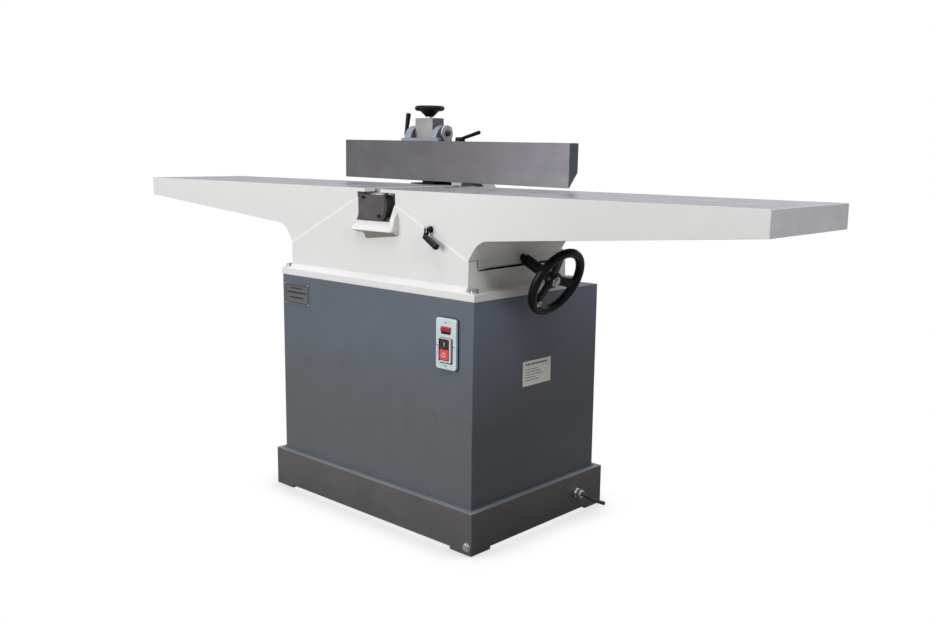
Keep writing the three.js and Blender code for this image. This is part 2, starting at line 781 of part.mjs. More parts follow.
// ---- fence --------------------------------------------------------------
const leaning = (g) =>
  g
    .clone()
    .translate(54, 0, -880)
    .rotateY(THREE.MathUtils.degToRad(FENCE_LEAN))
    .translate(-54, 0, 880);
piece(
  "fence_plate",
  leaning(cut(
    prismX([[FENCE_Y0, FENCE_Z0], [FENCE_Y0 + 3, FENCE_Z0], [FENCE_Y1, 866], [FENCE_Y1, FENCE_Z1], [FENCE_Y0, FENCE_Z1]], FENCE_X0, FENCE_X1),
    ...[
      [-452, -372],
      [-362, -282],
      [-104, 0],
      [10, 114],
      [124, 228],
      [238, 344],
    ].map(([x0, x1]) => box(x0, x1, FENCE_Y0 + 12, FENCE_Y1 + 5, 874, 926)),
  )),
  FENCE,
);
{
  const ear = [
    [FENCE_Y1 + 4, 904],
    [FENCE_Y1 + 4, 940],
    ...arc(PIN_Y + 2.5, 939.5, EAR_R, 171, -60, 18),
  ].reverse();
  const hole = cylX(12.5, -270, -100, PIN_Y, PIN_Z, 20);
  piece(
    "fence_bracket",
    cut(
      join(
        box(-265, -120, FENCE_Y1 + GAP, FENCE_Y1 + 6, 868, 945.5),
        prismX(ear, -251, -225.1),
        prismX(ear, -146, -125),
        box(-265, -226, FENCE_Y1 + 1, 150, 939, 945.5),
        box(-155.9, -124.5, FENCE_Y1 + 1, 150, 939, 945.5),
        box(-125, -120, FENCE_Y1 + 1, 136, 939, 945.5),
      ),
      hole,
      box(-260, -110, 184.6, 240, 880, 1000), // the ears end flat at the back
    ),
    CAST_GREY,
  );
}
piece(
  "fence_carriage",
  cut(
    join(
      box(BLOCK_X0, BLOCK_X1, 140, 185, BAR_Z1 - 1, 1000),
      box(-212, -168, 125.5, 365, BAR_Z0, BAR_Z1),
    ),
    cylX(12.4, -230, -150, PIN_Y, PIN_Z, 20),
    cylZ(8.5, 974, 1010, -190, 162, 16),
  ),
  CAST_GREY,
);
piece(
  "tilt_pin",
  join(
    cylX(12, -251.6, -123.5, PIN_Y, PIN_Z, 20),
    cylX(22.4, -124, -118, PIN_Y, PIN_Z, 28),
    cylX(8, -119, -112, PIN_Y, PIN_Z, 6),
  ),
  STEEL,
);
piece(
  "tilt_lock_lever",
  join(
    cylX(13, -281, -251.8, PIN_Y, PIN_Z, 20),
    rod([-277, PIN_Y - 1.5, PIN_Z - 4], [-283, 168, 1017], 4.6, 6.2, 12),
  ),
  BLACK,
);
piece(
  "fence_knob", // with its moulded-in stud
  turned(
    [[0, 975], [8, 975], [8, 1003.6], [11, 1003.6], [13, 1006.5], [27, 1020], [34, 1019.6], [40, 1022], [42.3, 1027], [40.4, 1032], [36, 1034.2], [30, 1032.6], [24, 1028.5], [14, 1028.5], [12, 1031], [0, 1031]],
    28,
  ).translate(-190, 162, 0),
  BLACK,
);
piece(
  "fence_support",
  cut(
    join(
      box(-236, -144, BODY_Y1 + GAP, 146, 630, 826),
      box(-236, -144, BODY_Y1 + GAP, 292, 820, BAR_Z0 - GAP),
      box(-236, -212.3, BODY_Y1 + GAP, 292, 825, 850),
      box(-167.7, -144, BODY_Y1 + GAP, 292, 825, 850),
      box(-236, -144, 196, 212, BAR_Z1 + GAP, 862),
      box(-236, -214, 196, 212, 849, 855),
      box(-166, -144, 196, 212, 849, 855),
      prismX([[145, 822], [145, 700], [285, 822]], -228, -218),
      prismX([[145, 822], [145, 700], [285, 822]], -162, -152),
      box(-150, -60.5, 147, 173, 820, BAR_Z0 - GAP),
      cylZ(11.5, 820, 933.5, -70, PIN_Y, 18),
      prismY([[-146, 829], [-146, 850], [-82, 829]], 156, 164),
    ),
    box(-240, -189, 130, 198, 821.6, 870), // low front corner beside the bar
    ...[-215, -165].map((x) => cylY(5.4, 120, 160, x, 660, 12)),
    cylZ(4.4, 905, 940, -70, PIN_Y, 12),
  ),
  CAST_GREY,
);
[-215, -165].forEach((x, i) =>
  piece(
    "fence_support_bolt_" + (i + 1),
    join(
      cylY(5, 121, 147, x, 660, 12),
      moved(prismY(hexagon(9), 146.3, 153), x, 0, 660),
    ),
    STEEL,
  ),
);
piece(
  "slide_lock_lever",
  join(
    cylZ(13.5, 934, 948, -70, PIN_Y, 20),
    cylZ(4, 908, 936, -70, PIN_Y, 12),
    rod([-66, PIN_Y, 943.4], [3, PIN_Y, 961], 4.4, 5.3, 12),
  ),
  BLACK,
);

// ---- switch -------------------------------------------------------------
const PLATE_Y = -241.8;
piece(
  "switch_plate",
  cut(
    prismY(roundedRect(PLATE_X - 32, PLATE_X + 32, PLATE_Z - 59, PLATE_Z + 59, 7, 4), PLATE_Y, -CABINET_Y - GAP),
    box(PLATE_X - 17, PLATE_X + 17, -250, -230, PLATE_Z - 40, PLATE_Z + 11.6),
    box(PLATE_X - 15.4, PLATE_X + 15.4, -250, -238, PLATE_Z + 25.6, PLATE_Z + 39.8),
  ),
  PLATE,
);
piece(
  "switch_bezel",
  cut(
    join(
      prismY(roundedRect(PLATE_X - 19, PLATE_X + 19, PLATE_Z - 42, PLATE_Z + 13.6, 3, 3), PLATE_Y - 5, PLATE_Y - GAP),
      box(PLATE_X - 16.7, PLATE_X + 16.7, PLATE_Y - 3, -224, PLATE_Z - 39.7, PLATE_Z + 11.3),
    ),
    box(PLATE_X - 14, PLATE_X + 14, -250, -232, PLATE_Z - 10, PLATE_Z + 10),
    box(PLATE_X - 14, PLATE_X + 14, -250, -232, PLATE_Z - 36.5, PLATE_Z - 12),
  ),
  CREAM,
);
piece(
  "start_button",
  box(PLATE_X - 13.5, PLATE_X + 13.5, PLATE_Y - 5.5, -235.4, PLATE_Z - 9.5, PLATE_Z + 9.5),
  GREEN_BLACK,
);
piece(
  "stop_button",
  box(PLATE_X - 13.5, PLATE_X + 13.5, PLATE_Y - 7, -235.4, PLATE_Z - 36, PLATE_Z - 12.5),
  RED,
);
piece(
  "indicator_lamp",
  prismX(
    [[-238.3, PLATE_Z + 26], [-238.3, PLATE_Z + 39.4], [PLATE_Y - 2, PLATE_Z + 39.4], [PLATE_Y - 3.5, PLATE_Z + 33], [PLATE_Y - 2, PLATE_Z + 26]],
    PLATE_X - 15,
    PLATE_X + 15,
  ),
  LAMP,
);

// ---- plate and supply ---------------------------------------------
piece(
  "rating_plate",
  prismY(roundedRect(-336, -235, 505, 562, 3, 2), -235, -CABINET_Y - GAP),
  CAST_GREY,
);
const GLAND_Y = 139;
const GLAND_Z = 55;
piece(
  "cable_gland",
  cut(
    join(
      moved(prismX(hexagon(14), PLINTH_X + GAP, 373), 0, GLAND_Y, GLAND_Z),
      cylX(11.5, 372, 377, GLAND_Y, GLAND_Z, 18),
      moved(prismX(hexagon(12.4), 376, 385), 0, GLAND_Y, GLAND_Z),
      cylX(10, 384, 388, GLAND_Y, GLAND_Z, 18),
    ),
    cylX(5.6, 360, 390, GLAND_Y, GLAND_Z, 14),
  ),
  STEEL,
);
{
  const path = new THREE.CatmullRomCurve3(
    [
      [368, GLAND_Y, GLAND_Z],
      [389, GLAND_Y, GLAND_Z],
      [403, GLAND_Y + 6, 50],
      [419, GLAND_Y + 18, 41],
      [434, GLAND_Y + 33, 34],
    ].map((p) => new THREE.Vector3(...p)),
  );
  const round = shape(arc(0, 0, 4.8, 0, 330, 11));
  piece(
    "power_cable",
    bare(new THREE.ExtrudeGeometry(round, { steps: 12, extrudePath: path, bevelEnabled: false })),
    RUBBER,
  );
}

// The frame's origin is the middle of the footprint, on the floor.
const root = new THREE.Group();
root.add(machine);
const bounds = new THREE.Box3().setFromObject(machine);
machine.position.set(0, -(bounds.min.y + bounds.max.y) / 2, -bounds.min.z);

export default root;
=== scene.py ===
import bpy, bmesh, math, json
from mathutils import Vector, Matrix
from mathutils.bvhtree import BVHTree


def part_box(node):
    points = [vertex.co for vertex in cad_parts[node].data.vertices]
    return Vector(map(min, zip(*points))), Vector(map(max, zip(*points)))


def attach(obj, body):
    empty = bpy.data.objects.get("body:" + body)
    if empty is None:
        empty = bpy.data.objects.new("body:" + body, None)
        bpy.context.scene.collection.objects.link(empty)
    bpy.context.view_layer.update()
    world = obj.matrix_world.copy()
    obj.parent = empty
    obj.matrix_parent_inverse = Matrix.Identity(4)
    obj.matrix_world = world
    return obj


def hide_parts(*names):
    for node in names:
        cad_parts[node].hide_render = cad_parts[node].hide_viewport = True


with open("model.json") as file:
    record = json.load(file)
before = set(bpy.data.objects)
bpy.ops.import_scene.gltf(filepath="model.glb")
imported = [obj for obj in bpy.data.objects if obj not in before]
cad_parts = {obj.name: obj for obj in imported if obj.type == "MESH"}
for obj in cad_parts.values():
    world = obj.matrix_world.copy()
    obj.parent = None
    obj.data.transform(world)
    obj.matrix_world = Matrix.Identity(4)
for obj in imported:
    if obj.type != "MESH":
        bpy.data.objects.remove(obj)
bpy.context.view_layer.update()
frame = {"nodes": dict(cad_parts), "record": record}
nodes = frame["nodes"]
node_body = {n: b for b, ns in frame["record"]["behaviour"]["bodies"].items() for n in ns}
node_slot = {s["node"]: s["material_slot"] for s in frame["record"]["subparts"]}

# The plinth's middle is the zero of the part's own layout in Y.
_lo, _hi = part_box("plinth")
DY = (_lo.y + _hi.y) / 2
MM = 0.001
SHIFT = Matrix.Translation((0, DY, 0)) @ Matrix.Scale(MM, 4)  # layout millimetres to frame metres


def P(x, y, z):
    return Vector((x * MM, y * MM + DY, z * MM))


# =====================================================================  materials
def srgb(r, g, b):
    def lin(c):
        c /= 255
        return c / 12.92 if c <= 0.04045 else ((c + 0.055) / 1.055) ** 2.4

    return (lin(r), lin(g), lin(b), 1)


class Mat:
    """A node material: colour variation, roughness variation, layered bump and worn or dirty edges."""

    def __init__(self, name, base, rough=0.4, metal=0.0, coat=0.0, spec=0.5):
        self.m = bpy.data.materials.new(name)
        self.m.use_nodes = True
        self.nt = self.m.node_tree
        self.p = self.nt.nodes["Principled BSDF"]
        self.p.inputs["Base Color"].default_value = base
        self.p.inputs["Roughness"].default_value = rough
        self.p.inputs["Metallic"].default_value = metal
        self.p.inputs["Coat Weight"].default_value = coat
        self.p.inputs["Coat Roughness"].default_value = 0.25
        self.p.inputs["Specular IOR Level"].default_value = spec
        self.color = None
        self.base = base
        self.rough = rough
        self.normal = None
        self.tc = self.nt.nodes.new("ShaderNodeTexCoord")

    def n(self, kind, **kw):
        node = self.nt.nodes.new(kind)
        for k, v in kw.items():
            setattr(node, k, v)
        return node

    def link(self, a, b):
        self.nt.links.new(a, b)

    def coords(self, scale=(1, 1, 1), rot=(0, 0, 0)):
        mp = self.n("ShaderNodeMapping")
        mp.inputs["Scale"].default_value = scale
        mp.inputs["Rotation"].default_value = rot
        self.link(self.tc.outputs["Object"], mp.inputs["Vector"])
        return mp.outputs["Vector"]

    def noise(self, scale, detail=3, rough=0.55, stretch=(1, 1, 1), rot=(0, 0, 0), distortion=0.0):
        t = self.n("ShaderNodeTexNoise")
        t.inputs["Scale"].default_value = scale
        t.inputs["Detail"].default_value = detail
        t.inputs["Roughness"].default_value = rough
        t.inputs["Distortion"].default_value = distortion
        self.link(self.coords(stretch, rot), t.inputs["Vector"])
        return t.outputs["Fac"]

    def voronoi(self, scale, stretch=(1, 1, 1), feature="F1"):
        t = self.n("ShaderNodeTexVoronoi", feature=feature)
        t.inputs["Scale"].default_value = scale
        self.link(self.coords(stretch), t.inputs["Vector"])
        return t.outputs["Distance"]

    def ramp(self, fac, a, b, lo=0.0, hi=1.0):
        r = self.n("ShaderNodeMapRange")
        r.inputs["From Min"].default_value = a
        r.inputs["From Max"].default_value = b
        r.inputs["To Min"].default_value = lo
        r.inputs["To Max"].default_value = hi
        self.link(fac, r.inputs["Value"])
        return r.outputs["Result"]

    def math(self, op, a, b=None):
        m = self.n("ShaderNodeMath", operation=op)
        for i, v in enumerate((a, b)):
            if v is None:
                continue
            if isinstance(v, (int, float)):
                m.inputs[i].default_value = v
            else:
                self.link(v, m.inputs[i])
        return m.outputs[0]

    def tint(self, fac, colour, blend="MIX"):
        """Mixes the colour so far towards another by fac."""
        mix = self.n("ShaderNodeMix", data_type="RGBA", blend_type=blend)
        self.link(fac, mix.inputs["Factor"])
        if self.color is None:
            mix.inputs["A"].default_value = self.base
        else:
            self.link(self.color, mix.inputs["A"])
        mix.inputs["B"].default_value = colour
        self.color = mix.outputs["Result"]
        return self

    def mottle(self, scale, amount, colour, detail=4, stretch=(1, 1, 1), lo=0.42, hi=0.68, distortion=0.0):
        return self.tint(self.ramp(self.noise(scale, detail, 0.6, stretch, distortion=distortion), lo, hi, 0, amount), colour)

    def roughness(self, scale, spread, stretch=(1, 1, 1), detail=3):
        v = self.ramp(self.noise(scale, detail, 0.6, stretch), 0.3, 0.7, self.rough - spread, self.rough + spread)
        self.link(v, self.p.inputs["Roughness"])
        return self

    def bump(self, height, strength, distance=0.001):
        b = self.n("ShaderNodeBump")
        b.inputs["Strength"].default_value = strength
        b.inputs["Distance"].default_value = distance
        self.link(height, b.inputs["Height"])
        if self.normal is not None:
            self.link(self.normal, b.inputs["Normal"])
        self.normal = b.outputs["Normal"]
        return self

    def edge(self, radius=0.002, lo=0.02, hi=0.25, noise_scale=60, noise_cut=(0.35, 0.6)):
        """Mask of convex and concave edges, broken up by noise."""
        bv = self.n("ShaderNodeBevel", samples=3)
        bv.inputs["Radius"].default_value = radius
        geo = self.n("ShaderNodeNewGeometry")
        dot = self.n("ShaderNodeVectorMath", operation="DOT_PRODUCT")
        self.link(bv.outputs["Normal"], dot.inputs[0])
        self.link(geo.outputs["True Normal"], dot.inputs[1])
        inv = self.math("SUBTRACT", 1.0, dot.outputs["Value"])
        mask = self.ramp(inv, lo, hi, 0, 1)
        brk = self.ramp(self.noise(noise_scale, 4, 0.65), noise_cut[0], noise_cut[1], 0, 1)
        return self.math("MULTIPLY", mask, brk)

    # painted shade: darkens the colour where nearby surfaces crowd in, in creases and hollows
    def occlusion_shade(self, distance, amount, colour):
        a = self.n("ShaderNodeAmbientOcclusion", samples=4)
        a.inputs["Distance"].default_value = distance
        inv = self.ramp(a.outputs["AO"], 0.35, 0.95, amount, 0)
        return self.tint(inv, colour)

    def paint_light_by_height(self, axis, sign, low, high):
        """Painted light and shade: scales the colour of the faces that look along one axis, from low = (z, rgb factors)
        up to high = (z, rgb factors).
        """
        geo = self.n("ShaderNodeNewGeometry")
        nrm = self.n("ShaderNodeSeparateXYZ")
        self.link(geo.outputs["True Normal"], nrm.inputs[0])
        mask = self.math("GREATER_THAN", self.math("MULTIPLY", nrm.outputs[axis], sign), 0.7)
        xyz = self.n("ShaderNodeSeparateXYZ")
        self.link(self.tc.outputs["Object"], xyz.inputs[0])
        part = self.ramp(xyz.outputs["Z"], low[0], high[0], 0, 1)
        self.tint(self.math("MULTIPLY", mask, self.math("SUBTRACT", 1.0, part)), low[1] + (1,), "MULTIPLY")
        self.tint(self.math("MULTIPLY", mask, part), high[1] + (1,), "MULTIPLY")
        return self

    def done(self):
        if self.color is not None:
            self.link(self.color, self.p.inputs["Base Color"])
        if self.normal is not None:
            self.link(self.normal, self.p.inputs["Normal"])
            if self.p.inputs["Coat Weight"].default_value > 0:
                self.link(self.normal, self.p.inputs["Coat Normal"])
        return self.m


def enamel_white():
    m = Mat("white_enamel", (0.765, 0.765, 0.765, 1), 0.38, 0, coat=0.10)
    m.mottle(3.2, 0.35, (0.795, 0.795, 0.795, 1))
    m.mottle(14, 0.25, (0.72, 0.715, 0.705, 1), lo=0.5, hi=0.75)
    # painted shade: creases and hollows of the white darkened towards a warm grey
    m.occlusion_shade(0.03, 0.35, (0.58, 0.55, 0.49, 1))
    xyz = m.n("ShaderNodeSeparateXYZ")  # painted shade: the long table's flank greys a little towards its end
    m.link(m.tc.outputs["Object"], xyz.inputs[0])
    m.tint(m.ramp(xyz.outputs["X"], 0.30, 0.62, 0, 1), (0.86, 0.86, 0.86, 1), "MULTIPLY")
    m.tint(m.math("MULTIPLY", m.edge(0.0016, 0.05, 0.30, 45, (0.60, 0.70)), 0.75), (0.16, 0.15, 0.14, 1))
    m.roughness(9, 0.07)
    m.bump(m.noise(11, 3, 0.5), 0.35, 0.0022)  # filled and painted casting, slightly wavy
    m.bump(m.noise(420, 2, 0.5), 0.10, 0.0004)  # orange peel
    return m.done()


def cast_rough_white():
    m = Mat("white_casting_rough", (0.84, 0.835, 0.82, 1), 0.55)
    m.mottle(22, 0.5, (0.66, 0.65, 0.635, 1))
    m.mottle(90, 0.3, (0.88, 0.875, 0.86, 1))
    m.roughness(30, 0.1)
    m.bump(m.noise(95, 5, 0.7), 0.7, 0.0018)
    return m.done()


# darker copies of the white enamel: the base colour is painted shade, the mottle and dark chipped edges are grime and
# wear
def shaded_aged_white(name, base, dark):
    m = Mat(name, base, 0.5)
    m.mottle(30, 0.6, dark, detail=5)
    m.mottle(8, 0.4, tuple(min(1, c * 1.15) for c in base[:3]) + (1,))
    m.tint(m.math("MULTIPLY", m.edge(0.0012, 0.05, 0.3, 90, (0.40, 0.55)), 0.8), (0.07, 0.06, 0.05, 1))
    m.roughness(30, 0.1)
    m.bump(m.noise(95, 5, 0.7), 0.5, 0.0012)
    return m.done()


def powder(name, base, dark, light, rough=0.42, scratches=0.10, painted_light_heights=(), wear=0.55):
    m = Mat(name, base, rough, 0, coat=0.06)
    m.mottle(2.6, 0.5, dark)
    m.mottle(8.5, 0.35, light, lo=0.5, hi=0.72)
    for h in painted_light_heights:
        m.paint_light_by_height(*h)
    line = m.ramp(m.noise(90, 3, 0.5, (1, 1, 0.4), (0.3, 0.5, 0)), 0.66, 0.72, 0, scratches)
    m.tint(line, tuple(min(1, c * 1.7) for c in light[:3]) + (1,))
    m.tint(m.math("MULTIPLY", m.edge(0.0020, 0.04, 0.30, 30, (0.30, 0.55)), wear), tuple(min(1, c * 2.4) for c in light[:3]) + (1,))
    m.roughness(18, 0.09)
    m.bump(m.noise(520, 2, 0.5), 0.22, 0.0005)
    m.bump(m.noise(6, 2, 0.5), 0.2, 0.0016)
    return m.done()


def ground(name, base, tint_a, tint_b, rough, lines, metal=0.85, line_strength=0.25, stains=True, painted_sheen_x=None):
    """Ground or planed metal: fine parallel lines, cloudy tint, a few rubbed stains."""
    m = Mat(name, base, rough, metal)
    if painted_sheen_x:  # painted sheen: the metal brightens from one end to the other
        xyz = m.n("ShaderNodeSeparateXYZ")
        m.link(m.tc.outputs["Object"], xyz.inputs[0])
        m.tint(m.ramp(xyz.outputs["X"], painted_sheen_x[0], painted_sheen_x[1], 0, 1), painted_sheen_x[2])
    m.mottle(4.5, 0.55 if not painted_sheen_x else 0.25, tint_a, distortion=0.6)
    m.mottle(22, 0.4, tint_b, lo=0.45, hi=0.7)
    if stains:
        m.mottle(60, 0.22, tuple(c * 0.55 for c in base[:3]) + (1,), lo=0.62, hi=0.72)
    fine = m.noise(1, 3, 0.6, lines)
    m.tint(m.ramp(fine, 0.35, 0.7, 0, 0.22), tuple(c * 0.6 for c in base[:3]) + (1,))
    m.tint(m.math("MULTIPLY", m.edge(0.0016, 0.05, 0.3, 80, (0.3, 0.5)), 0.6), tuple(min(1, c * 1.6) for c in base[:3]) + (1,))
    m.roughness(12, 0.08)
    m.bump(fine, line_strength, 0.0004)
    return m.done()


def turned_metal(name, base, rough=0.28, metal=1.0, scale=260):
    m = Mat(name, base, rough, metal)
    m.mottle(40, 0.4, tuple(c * 0.72 for c in base[:3]) + (1,))
    m.tint(m.math("MULTIPLY", m.edge(0.0008, 0.05, 0.3, 200, (0.3, 0.55)), 0.5), tuple(min(1, c * 1.5) for c in base[:3]) + (1,))
    m.roughness(120, 0.08)
    m.bump(m.noise(scale, 3, 0.6), 0.12, 0.0003)
    return m.done()


def cast_painted(name, base, light, rough=0.5, metal=0.25, spec=0.5, top=None):
    m = Mat(name, base, rough, metal, spec=spec)
    m.mottle(12, 0.5, light)
    m.mottle(55, 0.35, tuple(c * 0.6 for c in base[:3]) + (1,), lo=0.5, hi=0.72)
    m.tint(m.math("MULTIPLY", m.edge(0.0014, 0.05, 0.3, 70, (0.35, 0.6)), 0.6), tuple(min(1, c * 1.7) for c in light[:3]) + (1,))
    if top:  # (height, colour): painted shade above that height, in the given colour
        xyz = m.n("ShaderNodeSeparateXYZ")
        m.link(m.tc.outputs["Object"], xyz.inputs[0])
        m.tint(m.ramp(xyz.outputs["Z"], top[0] - 0.002, top[0], 0, 1), top[1])
    m.roughness(35, 0.1)
    m.bump(m.noise(160, 4, 0.6), 0.3, 0.0007)
    return m.done()


def phenolic(name="black_phenolic", base=(0.0045, 0.005, 0.0065, 1), rough=0.28):
    m = Mat(name, base, rough, 0, coat=0.0, spec=0.20)
    m.p.inputs["Specular Tint"].default_value = (0.80, 0.90, 1.0, 1)
    m.mottle(60, 0.5, (0.014, 0.014, 0.016, 1))
    m.mottle(14, 0.5, (0.010, 0.0105, 0.0125, 1))
    m.tint(m.math("MULTIPLY", m.edge(0.001, 0.05, 0.3, 120, (0.4, 0.65)), 0.4), (0.028, 0.028, 0.032, 1))
    m.roughness(45, 0.12)
    m.bump(m.noise(700, 2, 0.5), 0.12, 0.0003)
    return m.done()


def rubber():
    m = Mat("rubber", (0.014, 0.014, 0.015, 1), 0.62)
    m.mottle(80, 0.5, (0.035, 0.034, 0.033, 1))
    m.roughness(50, 0.1)
    m.bump(m.noise(900, 2), 0.2, 0.0003)
    return m.done()


def plastic(name, base, dark, rough=0.3, coat=0.3, emission=0.0):
    m = Mat(name, base, rough, 0, coat=coat)
    m.mottle(90, 0.45, dark)
    m.roughness(130, 0.07)
    m.bump(m.noise(1400, 2), 0.08, 0.0002)
    if emission:
        m.p.inputs["Emission Color"].default_value = base
        m.p.inputs["Emission Strength"].default_value = emission
    return m.done()


def sheet_metal(name, base, rough=0.38, metal=0.9):
    """Galvanised sheet with its spangle."""
    m = Mat(name, base, rough, metal)
    m.tint(m.ramp(m.voronoi(70, feature="F1"), 0.1, 0.9, 0, 0.5), tuple(min(1, c * 1.35) for c in base[:3]) + (1,))
    m.mottle(9, 0.4, tuple(c * 0.7 for c in base[:3]) + (1,))
    m.roughness(30, 0.1)
    m.bump(m.noise(240, 2), 0.1, 0.0003)
    return m.done()


def printed(name, base, ink):
    """A plate or paper label: the ink marks are separate thin pieces, this is only the ground."""
    m = Mat(name, base, 0.4, 0.0)
    m.mottle(30, 0.35, tuple(c * 0.85 for c in base[:3]) + (1,))
    m.mottle(120, 0.25, tuple(min(1, c * 1.1) for c in base[:3]) + (1,))
    m.roughness(60, 0.08)
    m.bump(m.noise(300, 2), 0.08, 0.0002)
    return m.done()


WHITE = enamel_white()
WHITE_ROUGH = cast_rough_white()
# painted shade: darker copies of the white for the chip lip's underside and flanks
LIP_UNDER_SHADE = shaded_aged_white("lip_underside_painted_shade", (0.265, 0.248, 0.215, 1), (0.175, 0.162, 0.138, 1))
LIP_SIDE_SHADE = shaded_aged_white("lip_flank_painted_shade", (0.70, 0.675, 0.62, 1), (0.40, 0.375, 0.33, 1))
# painted light and shade: the cabinet's right side and front are darker low down, lighter and bluer high up
BLUE_GREY = powder("grey_powder_coat", (0.098, 0.110, 0.130, 1), (0.087, 0.098, 0.117, 1), (0.112, 0.125, 0.147, 1), 0.46,
                   painted_light_heights=(("X", 1, (0.27, (0.60, 0.60, 0.60)), (0.55, (1.38, 1.45, 1.68))), ("Y", -1, (0.31, (0.94, 0.93, 0.89)), (0.47, (0.97, 1.05, 1.16)))), wear=0.85)
# painted light and shade: the plinth's right side and front are darker at the bottom, lighter at the top
PLINTH = powder("plinth_powder_coat", (0.084, 0.082, 0.084, 1), (0.060, 0.059, 0.064, 1), (0.108, 0.104, 0.100, 1), 0.46,
                painted_light_heights=(("X", 1, (0.02, (0.62, 0.64, 0.68)), (0.10, (0.92, 0.90, 0.88))), ("Y", -1, (0.02, (0.84, 0.86, 0.92)), (0.09, (1.08, 1.04, 1.0)))), wear=0.8)
# painted highlight: a lighter copy of the plinth coat for its top ledge
PLINTH_LEDGE_HIGHLIGHT = powder("plinth_ledge_painted_highlight", (0.21, 0.225, 0.255, 1), (0.16, 0.17, 0.20, 1), (0.27, 0.29, 0.32, 1), 0.42)
FOOT_BEAD = powder("foot_bead_coat", (0.085, 0.105, 0.135, 1), (0.065, 0.08, 0.105, 1), (0.11, 0.13, 0.16, 1), 0.42)
TABLE_TOP = ground("ground_table", (0.56, 0.555, 0.62, 1), (0.46, 0.455, 0.52, 1), (0.64, 0.635, 0.70, 1), 0.32, (6, 900, 6))
TABLE_END = ground("machined_end", (0.74, 0.745, 0.79, 1), (0.62, 0.625, 0.67, 1), (0.84, 0.845, 0.89, 1), 0.55, (500, 40, 500), metal=0.2)
# painted sheen: the fence face brightens towards its +X end
FENCE_FACE = ground("ground_fence", (0.118, 0.113, 0.120, 1), (0.105, 0.10, 0.107, 1), (0.165, 0.158, 0.168, 1), 0.46, (8, 40, 700), metal=0.45, stains=False, painted_sheen_x=(-0.10, 0.42, (0.225, 0.215, 0.238, 1)))
FENCE_PAINT = powder("fence_grey_paint", (0.070, 0.080, 0.100, 1), (0.058, 0.066, 0.084, 1), (0.085, 0.095, 0.118, 1))
CAST_BLUE = cast_painted("pale_casting", (0.27, 0.315, 0.37, 1), (0.36, 0.41, 0.47, 1), 0.45, 0.3)
BLOCK_STEEL = ground("milled_block", (0.345, 0.335, 0.345, 1), (0.26, 0.25, 0.262, 1), (0.44, 0.43, 0.44, 1), 0.42, (60, 60, 500), metal=0.7)
EAR_FLANK_SHADE = cast_painted("ear_flank_painted_shade", (0.085, 0.09, 0.10, 1), (0.12, 0.125, 0.14, 1), 0.55, 0.1)
FLANK_SHADE = ground("milled_flank_painted_shade", (0.135, 0.14, 0.165, 1), (0.10, 0.105, 0.125, 1), (0.18, 0.185, 0.21, 1), 0.5, (60, 60, 500), metal=0.4)
HEAD_GREY = ground("bearing_iron", (0.105, 0.095, 0.102, 1), (0.075, 0.068, 0.074, 1), (0.15, 0.135, 0.142, 1), 0.45, (60, 60, 60), metal=0.6)
# near-black casting, also used as painted shade on faces in gaps and under the fence
DARK_CAST_AND_SHADE = cast_painted("dark_casting_and_painted_shade", (0.006, 0.006, 0.007, 1), (0.010, 0.010, 0.0115, 1), 0.7, 0.0, spec=0.04)
# painted shade: the support casting turns near-black above its top edge
SUPPORT = cast_painted("support_casting", (0.27, 0.315, 0.37, 1), (0.36, 0.41, 0.47, 1), 0.5, 0.1, spec=0.25, top=(0.806, (0.006, 0.006, 0.007, 1)))
# painted glow: the pale pad emits a little light
PALE_PAD_GLOW = plastic("pale_pad_painted_glow", (0.92, 0.92, 0.93, 1), (0.84, 0.84, 0.86, 1), 0.5, 0.0, emission=0.22)
GUARD_SLOPE_LIGHT = cast_painted("guard_slope_painted_light", (0.33, 0.33, 0.36, 1), (0.42, 0.42, 0.45, 1), 0.5, 0.2)
HEAD_DARK = cast_painted("head_casting", (0.045, 0.042, 0.047, 1), (0.065, 0.06, 0.066, 1), 0.55, 0.3)
STEEL = turned_metal("bright_steel", (0.60, 0.60, 0.62, 1), 0.26)
DISC_STEEL = turned_metal("faced_steel", (0.46, 0.47, 0.48, 1), 0.42, 0.75)
DARK_STEEL = turned_metal("blackened_steel", (0.055, 0.055, 0.062, 1), 0.38, 0.8)
BLACK = phenolic()
RUBBER = rubber()
PLATE_AL = ground("switch_plate_aluminium", (0.66, 0.77, 0.85, 1), (0.60, 0.72, 0.80, 1), (0.74, 0.83, 0.90, 1), 0.34, (300, 60, 40), metal=0.35, line_strength=0.1, stains=False)
CREAM = plastic("cream_plastic", (0.70, 0.665, 0.60, 1), (0.60, 0.565, 0.50, 1))
START = plastic("start_plastic", (0.006, 0.012, 0.011, 1), (0.014, 0.024, 0.022, 1), 0.25, 0.2)
STOP = plastic("stop_plastic", (0.74, 0.07, 0.085, 1), (0.52, 0.02, 0.03, 1), 0.28, 0.5)
LAMP = plastic("lamp_lens", (0.42, 0.022, 0.014, 1), (0.62, 0.09, 0.03, 1), 0.16, 0.6, emission=0.03)
MOTOR = cast_painted("motor_paint", (0.045, 0.105, 0.135, 1), (0.065, 0.135, 0.165, 1), 0.42, 0.1)
SHEET = sheet_metal("galvanised_sheet", (0.40, 0.41, 0.42, 1))
GUNMETAL = turned_metal("gunmetal", (0.42, 0.27, 0.12, 1), 0.36, 0.95)
RATING = ground("rating_plate_metal", (0.15, 0.155, 0.165, 1), (0.12, 0.125, 0.135, 1), (0.19, 0.195, 0.205, 1), 0.40, (40, 40, 400), metal=0.4, stains=False)
PAPER = printed("label_paper", (0.80, 0.80, 0.79, 1), None)
INK = phenolic("label_ink", (0.035, 0.035, 0.04, 1), 0.5)
MARK_WHITE = plastic("mark_white", (0.72, 0.74, 0.74, 1), (0.62, 0.64, 0.64, 1), 0.4, 0.2)
